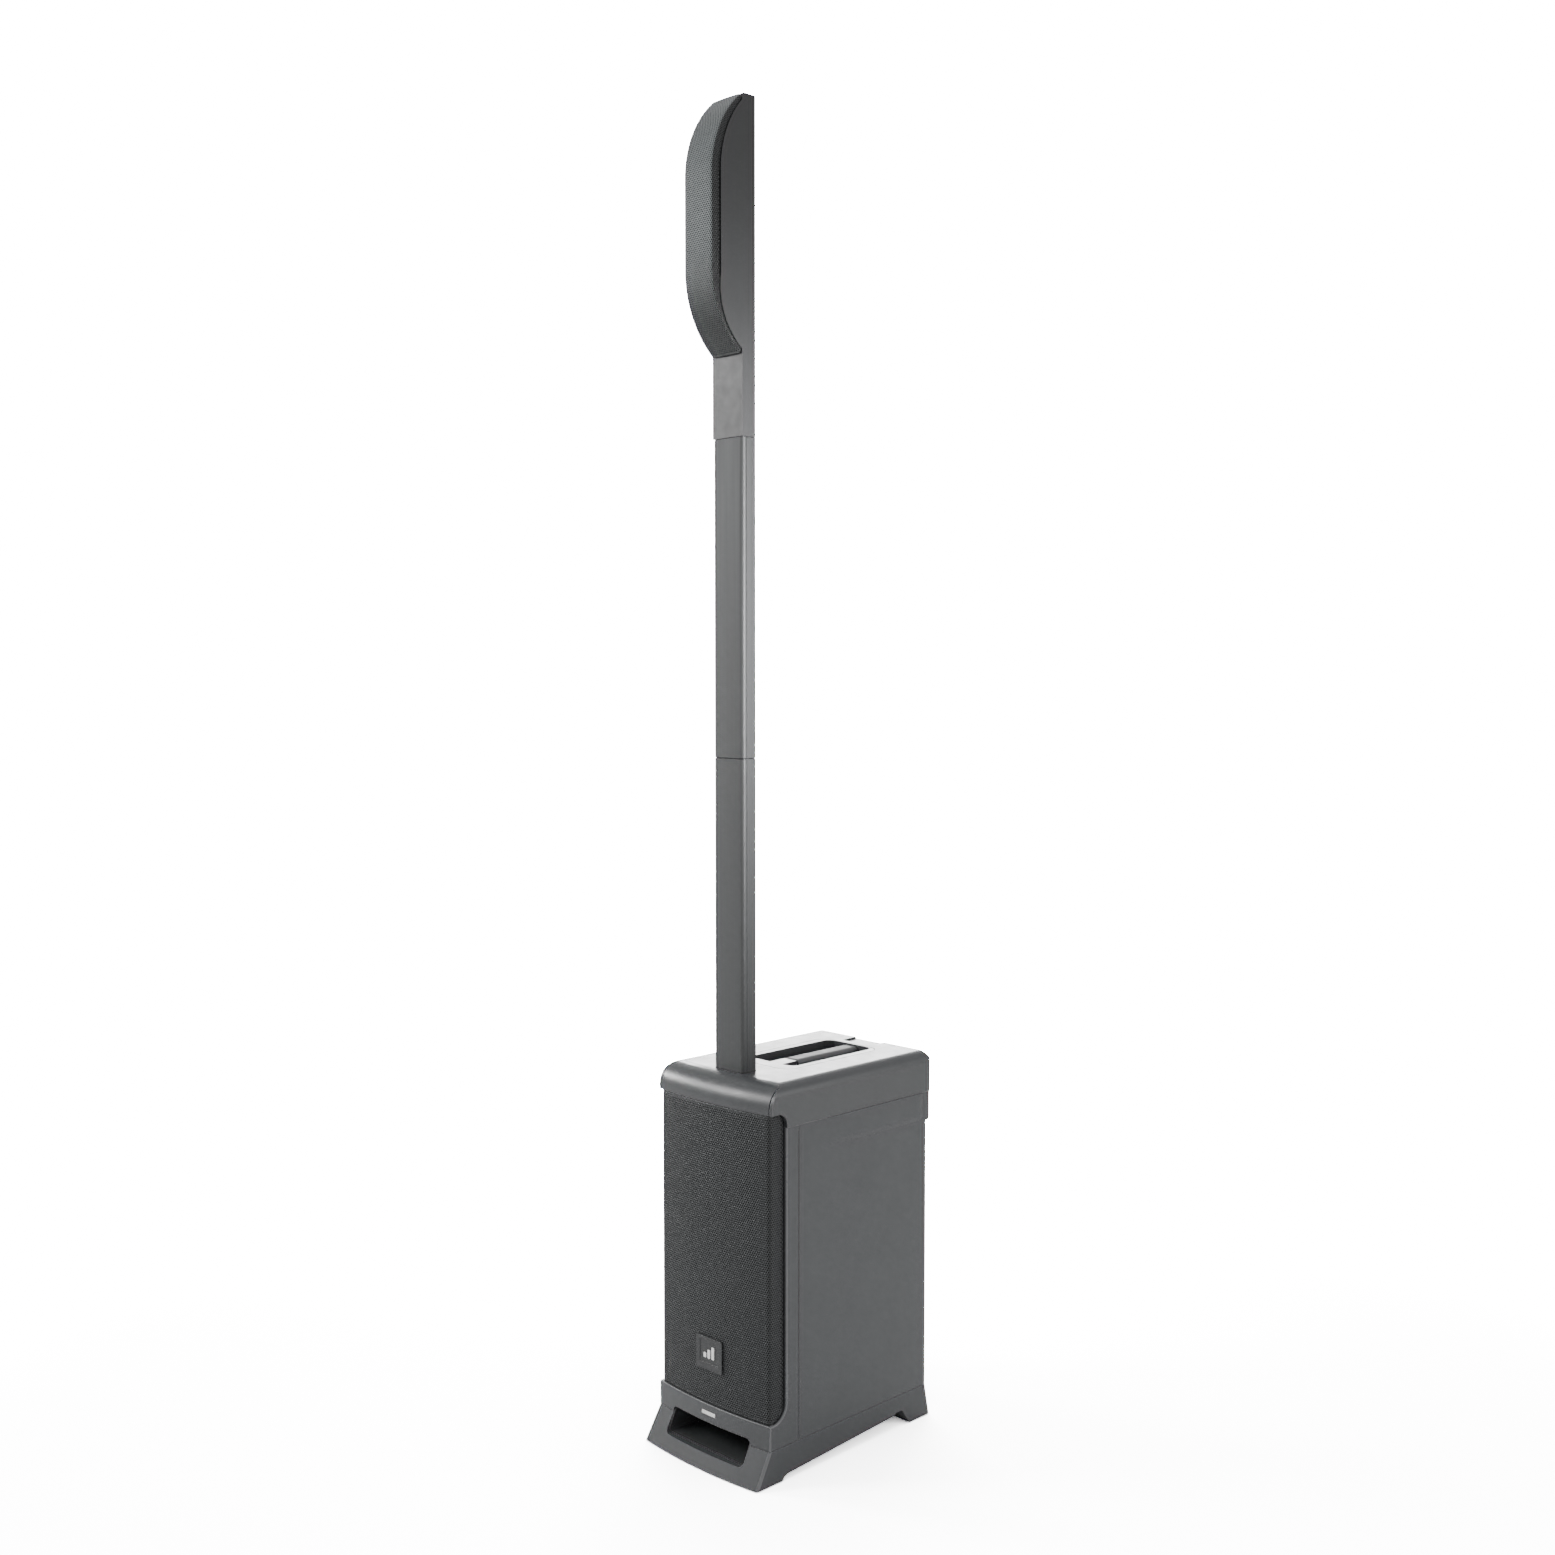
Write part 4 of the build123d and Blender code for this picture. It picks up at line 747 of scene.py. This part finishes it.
def make_array_grille():
    """Perforated steel over the curved array: a U section carried up the array's D outline.

    The section is flat across the front, crowned by crown, with round corners and side skirts; each
    of its points is moved in from the outline along the outline's normal."""
    low = arc_through((-138, 1713), (-184, 1777), (-195, 1840), 60)
    high = arc_through((-195, 1975), (-172, 2056), (-137, 2098), 60)
    outline = Path(np.concatenate([low, high]) * mm)
    half, radius, skirt, crown = array_grille_half, 0.0045, 0.0165, 0.0008
    across = np.linspace(-half + radius, half - radius, 30)
    front = np.stack([across, crown * (across / half) ** 2], axis=-1)
    left = blend_corner((-half, crown + radius), (-half, crown), front[0])
    right = blend_corner(front[-1], (half, crown), (half, crown + radius))
    section = Path(np.concatenate([[(-half, skirt)], left, front, right, [(half, skirt)]]))
    width, height = section.length, outline.length
    end_radius, band = 0.010, 0.0026

    def place(u, v, depth=0.0):
        across_depth = section.at(u) + section.normals(u) * depth
        moved = outline.at(v) - outline.normals(v) * across_depth[..., 1:]
        return np.stack([across_depth[..., 0], moved[..., 0], moved[..., 1]], axis=-1)

    sheet = perforated(
        "array_grille_sheet", place, width, height, 0.0036, 0.0025,
        lambda u, v: panel_depth(u, v, width, height, end_radius, end_radius) > band - 0.0010)
    finish_piece(thicken(smooth(sheet), 0.0009), array_grille_paint, "array",
                 ("array_grille",))
    # The skirts of the sheet, and below those of the rim, take the darker colour, a painted shade.
    second_finish(sheet, array_skirt_shade, on_skirt)
    rim = rim_band("array_grille_rim", place, width, height, end_radius, end_radius, band)
    finish_piece(thicken(smooth(rim), 0.0012), array_grille_paint, "array")
    second_finish(rim, array_skirt_shade, on_skirt)
    u, v = np.meshgrid(np.linspace(0.002, width - 0.002, 60), np.linspace(0.003, height - 0.003, 90))
    liner = grid_piece("array_grille_liner", place(u, v, 0.0016))
    finish_piece(thicken(smooth(liner), 0.0006), liner_cloth, "array")


# ------------------------------------------------------------------ column
def column_section(groove):
    """Outline of the column's tube, with a shallow groove down each side near its front edge."""
    outline = round_rectangle(column_half_width, column_half_depth, 0.006, 8)
    steps = []
    for side in (1, -1):
        y = np.array([-0.0062, -0.0066, -0.0080, -0.0084])
        x = side * (column_half_width - np.array([0.0, groove, groove, 0.0]))
        run = np.stack([x, y], axis=-1)
        steps.append(run if side < 0 else run[::-1])
    return np.concatenate([outline[:16], steps[1], outline[16:], steps[0]])


def make_column_section(name, node, body):
    """Drawn tube with chamfered ends: its outline carried up in z, then back down inside the wall."""
    low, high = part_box(node)
    half_size = np.array([column_half_width, column_half_depth])
    outside = column_section(0.0008)
    inside = outside * ((half_size - column_wall) / half_size)
    chamfer = 0.0009
    shrink = 1.0 - chamfer / half_size
    rows = [(inside, low.z), (outside * shrink, low.z), (outside, low.z + chamfer),
            (outside, high.z - chamfer), (outside * shrink, high.z), (inside, high.z)]
    centre = np.array([0.0, column_centre_y])
    rings = [np.concatenate([ring + centre, np.full((len(ring), 1), z)], axis=1) for ring, z in rows]
    piece = grid_piece(name, np.stack(rings)[::-1], close_rows=True, close_columns=True)
    finish_piece(smooth(piece, 30.0), column_metal, body, (node,))


# ------------------------------------------------------------------ rear controls
def turned_faces(name, profile, centre, teeth=0, depth=0.0, segments=96):
    """Body of revolution about the +Y axis through centre.

    profile holds (radius, y, fluted) rows from the axis outwards and back; a fluted row's radius is
    cut by depth * (1 - cos(teeth * angle)) / 2."""
    angle = np.linspace(0.0, 2 * pi, segments, endpoint=False)[None, :]
    radius, y, fluted = (np.array(column)[:, None] for column in zip(*profile))
    cut = radius - fluted * depth * (1.0 - np.cos(teeth * angle)) / 2
    points = np.stack([centre[0] + cut * np.cos(angle), y + 0.0 * angle,
                       centre[2] + cut * np.sin(angle)], axis=-1)
    faces = grid_faces(len(profile), segments, close_columns=True)
    flat = points.reshape(-1, 3)
    poles = np.array([[centre[0], profile[0][1], centre[2]], [centre[0], profile[-1][1], centre[2]]])
    first = np.arange(segments)
    following = np.roll(first, -1)
    last = first + (len(profile) - 1) * segments
    after = following + (len(profile) - 1) * segments
    count = len(flat)
    near = [(count, b, a) for a, b in zip(first.tolist(), following.tolist())]
    far = [(count + 1, a, b) for a, b in zip(last.tolist(), after.tolist())]
    mesh = bpy.data.meshes.new(name)
    mesh.from_pydata(np.concatenate([flat, poles]).tolist(), [], faces.tolist() + near + far)
    mesh.update()
    piece = bpy.data.objects.new(name, mesh)
    bpy.context.scene.collection.objects.link(piece)
    return piece


def make_knob(node, body, teeth):
    """Fluted rubber knob with a domed face, and a white pointer line for its position."""
    low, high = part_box(node)
    centre = (low + high) / 2
    radius, back, face = (high.x - low.x) / 2, low.y, high.y
    profile = [(0.0002, back, 0), (radius * 0.96, back, 0), (radius, back + 0.0012, 0.2),
               (radius * 0.985, back + 0.0030, 1), (radius * 0.95, face - 0.0022, 1),
               (radius * 0.91, face - 0.0007, 0.4), (radius * 0.82, face, 0),
               (radius * 0.78, face, 0), (radius * 0.74, face - 0.0006, 0), (0.0002, face - 0.0009, 0)]
    knob = turned_faces(node + "_fluted", profile, centre, teeth, radius * 0.10, 8 * teeth)
    finish_piece(smooth(knob, 50.0), knob_rubber, body, (node,))
    x = np.array([-0.0006, 0.0006])
    z = np.array([radius * 0.25, radius * 0.88])
    front = np.array([[centre.x + a, face + 0.0001, centre.z + b] for b in z for a in x])
    pointer = link_piece(node + "_pointer", front, np.array([[0, 2, 3, 1]]))
    finish_piece(thicken(pointer, 0.0008), white_print, body)


def ring_marks(name, centre, radius, y, first, last, count):
    """Printed dashes round a knob: short radial bars between two radii at equal turns."""
    turn = np.radians(np.linspace(first, last, count))[:, None]
    width = 0.022
    near, far = radius, radius + 0.0022
    corner_turn = turn + np.array([[-width, width, width, -width]]) * (0.010 / radius)
    corner_reach = np.array([[near, near, far, far]])
    points = np.stack([centre.x - corner_reach * np.sin(corner_turn), np.full((count, 4), y),
                       centre.z + corner_reach * np.cos(corner_turn)], axis=-1).reshape(-1, 3)
    faces = np.arange(count * 4).reshape(-1, 4)
    marks = link_piece(name, points, faces)
    finish_piece(thicken(marks, 0.0001), white_print, "base")


def make_display_bars():
    """Level bars on the display: a row of small lit blocks for each of three channels."""
    low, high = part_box("display_window")
    face = high.y + 0.00008
    channel, block = np.meshgrid(np.arange(3), np.arange(9), indexing="ij")
    lit = block < np.array([6, 8, 5])[:, None]
    x = high.x - 0.016 - block[lit] * 0.0052
    z = low.z + 0.010 + channel[lit] * 0.0085
    across = np.array([0.0, 0.0040, 0.0040, 0.0])
    up = np.array([0.0, 0.0, 0.0048, 0.0048])
    points = np.stack([x[:, None] + across, np.full((len(x), 4), face), z[:, None] + up], axis=-1)
    faces = np.arange(points.size // 3).reshape(-1, 4)
    bars = link_piece("display_bars", points.reshape(-1, 3), faces[:, ::-1])
    finish_piece(thicken(bars, 0.00006), display_glow, "base")


def make_ring(name, centre, inner, outer, back, face, material):
    """Rounded metal ring about the +Y axis: its rounded section carried round a circle."""
    turn = np.linspace(0.0, 2 * pi, 72, endpoint=False)[None, :]
    middle, half_width = (inner + outer) / 2, (outer - inner) / 2
    around = np.linspace(0.0, 2 * pi, 12, endpoint=False)[:, None]
    radius = middle + half_width * np.cos(around)
    y = (back + face) / 2 + (face - back) / 2 * np.sin(around)
    points = np.stack([centre[0] + radius * np.cos(turn), y + 0.0 * turn, centre[2] + radius * np.sin(turn)],
                      axis=-1)
    ring = grid_piece(name, points, close_rows=True, close_columns=True)
    finish_piece(smooth(ring, 180.0), material, "base")


# ------------------------------------------------------------------ sides under the cap
def ramp(value):
    """Smooth step from 0 to 1: 3 t^2 - 2 t^3."""
    t = np.clip(value, 0.0, 1.0)
    return t * t * (3.0 - 2.0 * t)


def make_side_swell(side, name):
    """Soft swelling of the cabinet's side under the cap.

    It stands out by at most 1.3 mm: a smooth step up in z, times one back in y and one down at the rear."""
    z, y = np.meshgrid(np.linspace(0.492, 0.5449, 28), np.linspace(-0.100, 0.1865, 40), indexing="ij")
    rise = ramp((z - 0.496) / 0.012) * ramp((y + 0.075) / 0.110) * ramp((0.1865 - y) / 0.016)
    x = 0.12670 + 0.0016 * rise
    points = np.stack([side * x, y, z], axis=-1)
    if side > 0:
        points = points[:, ::-1]
    swell = grid_piece(name, points)
    finish_piece(thicken(smooth(swell, 180.0), 0.0012), cabinet_plastic, "base")


# ------------------------------------------------------------------ edges that the mould rounds more
def at(value, level, reach=1e-4):
    """Within reach of a level."""
    return np.abs(value - level) < reach


def at_side(x):
    """On the flat sides of the cabinet, or outside them."""
    return np.abs(x) > cabinet_half - 2e-4


def at_bowed_front(x, y):
    """On the bowed front of the cabinet."""
    return y < bow_y(x, cabinet_corner_y, cabinet_half) + 6e-4


def on_window(x, y, z):
    """Where the side of the cabinet meets the front edge of the pillars, the corner and the bezel."""
    arc = at(np.hypot(y + 0.161, z - 0.120), 0.028, 2e-4) & (y > -0.1612) & (z < 0.1202)
    pillar = at(y, -0.133) & (z > 0.1199)
    bezel = at(z, bezel_top) & (y < -0.1608)
    return at_side(x) & (pillar | bezel | arc)


def on_bezel(x, y, z):
    """Top front edge of the bezel."""
    return at(z, bezel_top) & at_bowed_front(x, y)


def on_bezel_corner(x, y, z):
    """Upright front corners of the bezel."""
    return at_side(x) & (y < cabinet_corner_y + 2e-4) & (z < bezel_top + 1e-4)


def on_side_joint(x, y, z):
    """Edge that runs round the outside where the cabinet stands on the plinth."""
    return at(z, plinth_top) & (at_side(x) | (y > 0.1868) | at_bowed_front(x, y))


def on_seam(x, y, z):
    """Upright joint between the front frame and the shell."""
    return (np.abs(x) > 0.1262) & at(y, seam_y, 6e-4)


def on_foot_corner(x, y, z):
    """Sloping front corners of the foot."""
    return at_side(x) & (y < cabinet_corner_y + 2e-4)


def on_cheek(x, y, z):
    """Outer front edge of each cheek, round the nose of the cap."""
    nose = at(np.hypot(y + 0.127, z - 0.574), 0.038, 8e-4)
    front = at(y, -0.165, 8e-4) & (z < 0.575)
    return (np.abs(x) > 0.1226) & (np.abs(x) < 0.1229) & (nose | front) & (y < -0.126)


def on_cap_foot(x, y, z):
    """Lower outer edge of the cap's sides."""
    return at(z, 0.545) & (np.abs(x) > 0.1270)


# ------------------------------------------------------------------ the pieces
make_side_swell(-1, "swell_left")
make_side_swell(1, "swell_right")
make_sub_grille()
make_array_grille()
make_column_section("column_lower_tube", "column_lower", "column_lower")
make_column_section("column_upper_tube", "column_upper", "column_upper")

# The last list of a moulded copy holds the edges whose rounds are painted lighter, a painted highlight.
moulded_copy("top_cap", 0.0014, cap_plastic, "base", 3, [(on_cap_foot, 0.0011)],
             [(on_cheek, 0.0011)])
moulded_copy("front_frame", 0.0012, cabinet_plastic, "base", 2,
             [(on_side_joint, 0.0012), (on_seam, 0.0010)],
             [(on_window, 0.0026), (on_bezel_corner, 0.0024), (on_bezel, 0.0014)])
moulded_copy("cabinet_shell", 0.0010, cabinet_plastic, "base", 2,
             [(on_side_joint, 0.0010), (on_seam, 0.0014)])
moulded_copy("plinth", 0.0016, plinth_plastic, "base", 2,
             [(on_side_joint, 0.0010)], [(on_foot_corner, 0.0036)])
moulded_copy("array_housing", 0.0010, array_plastic, "array", 2)
moulded_copy("handle_grip", 0.0010, grip_rubber, "base", 2)
moulded_copy("badge_plate", 0.0006, badge_grey, "base", 2)
moulded_copy("badge_emblem", 0.0004, white_print, "base", 2)
moulded_copy("name_tag", 0.0003, white_print, "base", 2)
moulded_copy("rear_panel", 0.0005, panel_coat, "base", 2)
moulded_copy("power_rocker", 0.0006, black_plastic, "power_rocker", 2)
moulded_copy("menu_button", 0.0005, knob_rubber, "menu_button", 2)
moulded_copy("back_button", 0.0005, knob_rubber, "back_button", 2)
for socket_node in ("combo_jack_1", "combo_jack_2", "line_output", "power_inlet"):
    moulded_copy(socket_node, 0.0005, black_plastic, "base", 2)

make_knob("main_encoder", "main_encoder", 30)
for knob_node in ("level_knob_1", "level_knob_2", "level_knob_3"):
    make_knob(knob_node, knob_node, 18)
    knob_low, knob_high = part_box(knob_node)
    ring_marks(knob_node + "_marks", (knob_low + knob_high) / 2, 0.0135, 0.1901, -150, 150, 11)
make_display_bars()
for socket_node in ("combo_jack_1", "combo_jack_2", "line_output"):
    socket_low, socket_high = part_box(socket_node)
    make_ring(socket_node + "_ring", (socket_low + socket_high) / 2, 0.0096, 0.0112,
              socket_high.y - 0.0006, socket_high.y + 0.0007, bright_steel)
encoder_low, encoder_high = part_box("main_encoder")
make_ring("encoder_bezel", (encoder_low + encoder_high) / 2, 0.0196, 0.0212, 0.1895, 0.1908, screw_steel)

finishes = {
    "rubber_feet": rubber, "port_duct": duct_plastic, "grille_foam": foam, "front_baffle": baffle_paint,
    "baffle_screws": screw_steel, "column_socket": black_plastic, "socket_contacts": gold_plate,
    "woofer_basket": screw_steel, "woofer_magnet": ferrite, "woofer_pole_plates": bright_steel,
    "woofer_cone": cone_paper, "woofer_dust_cap": cone_paper, "woofer_voice_coil": copper_wire,
    "woofer_surround": rubber, "woofer_spider": spider_cloth, "woofer_gasket": foam,
    "woofer_screws": screw_steel, "panel_screws": screw_steel, "display_window": display_glass,
    "heatsink": heatsink_metal, "amplifier_board": board_lacquer, "power_supply": board_lacquer,
    "lower_tongue": black_plastic, "upper_tongue": black_plastic, "array_tongue": black_plastic,
    "array_baffle": black_plastic, "array_cones": cone_paper,
    **{"array_driver_" + str(driver): screw_steel for driver in range(1, 9)},
}
for node_name, finish in finishes.items():
    repaint(node_name, finish)

add_camera()
add_studio()
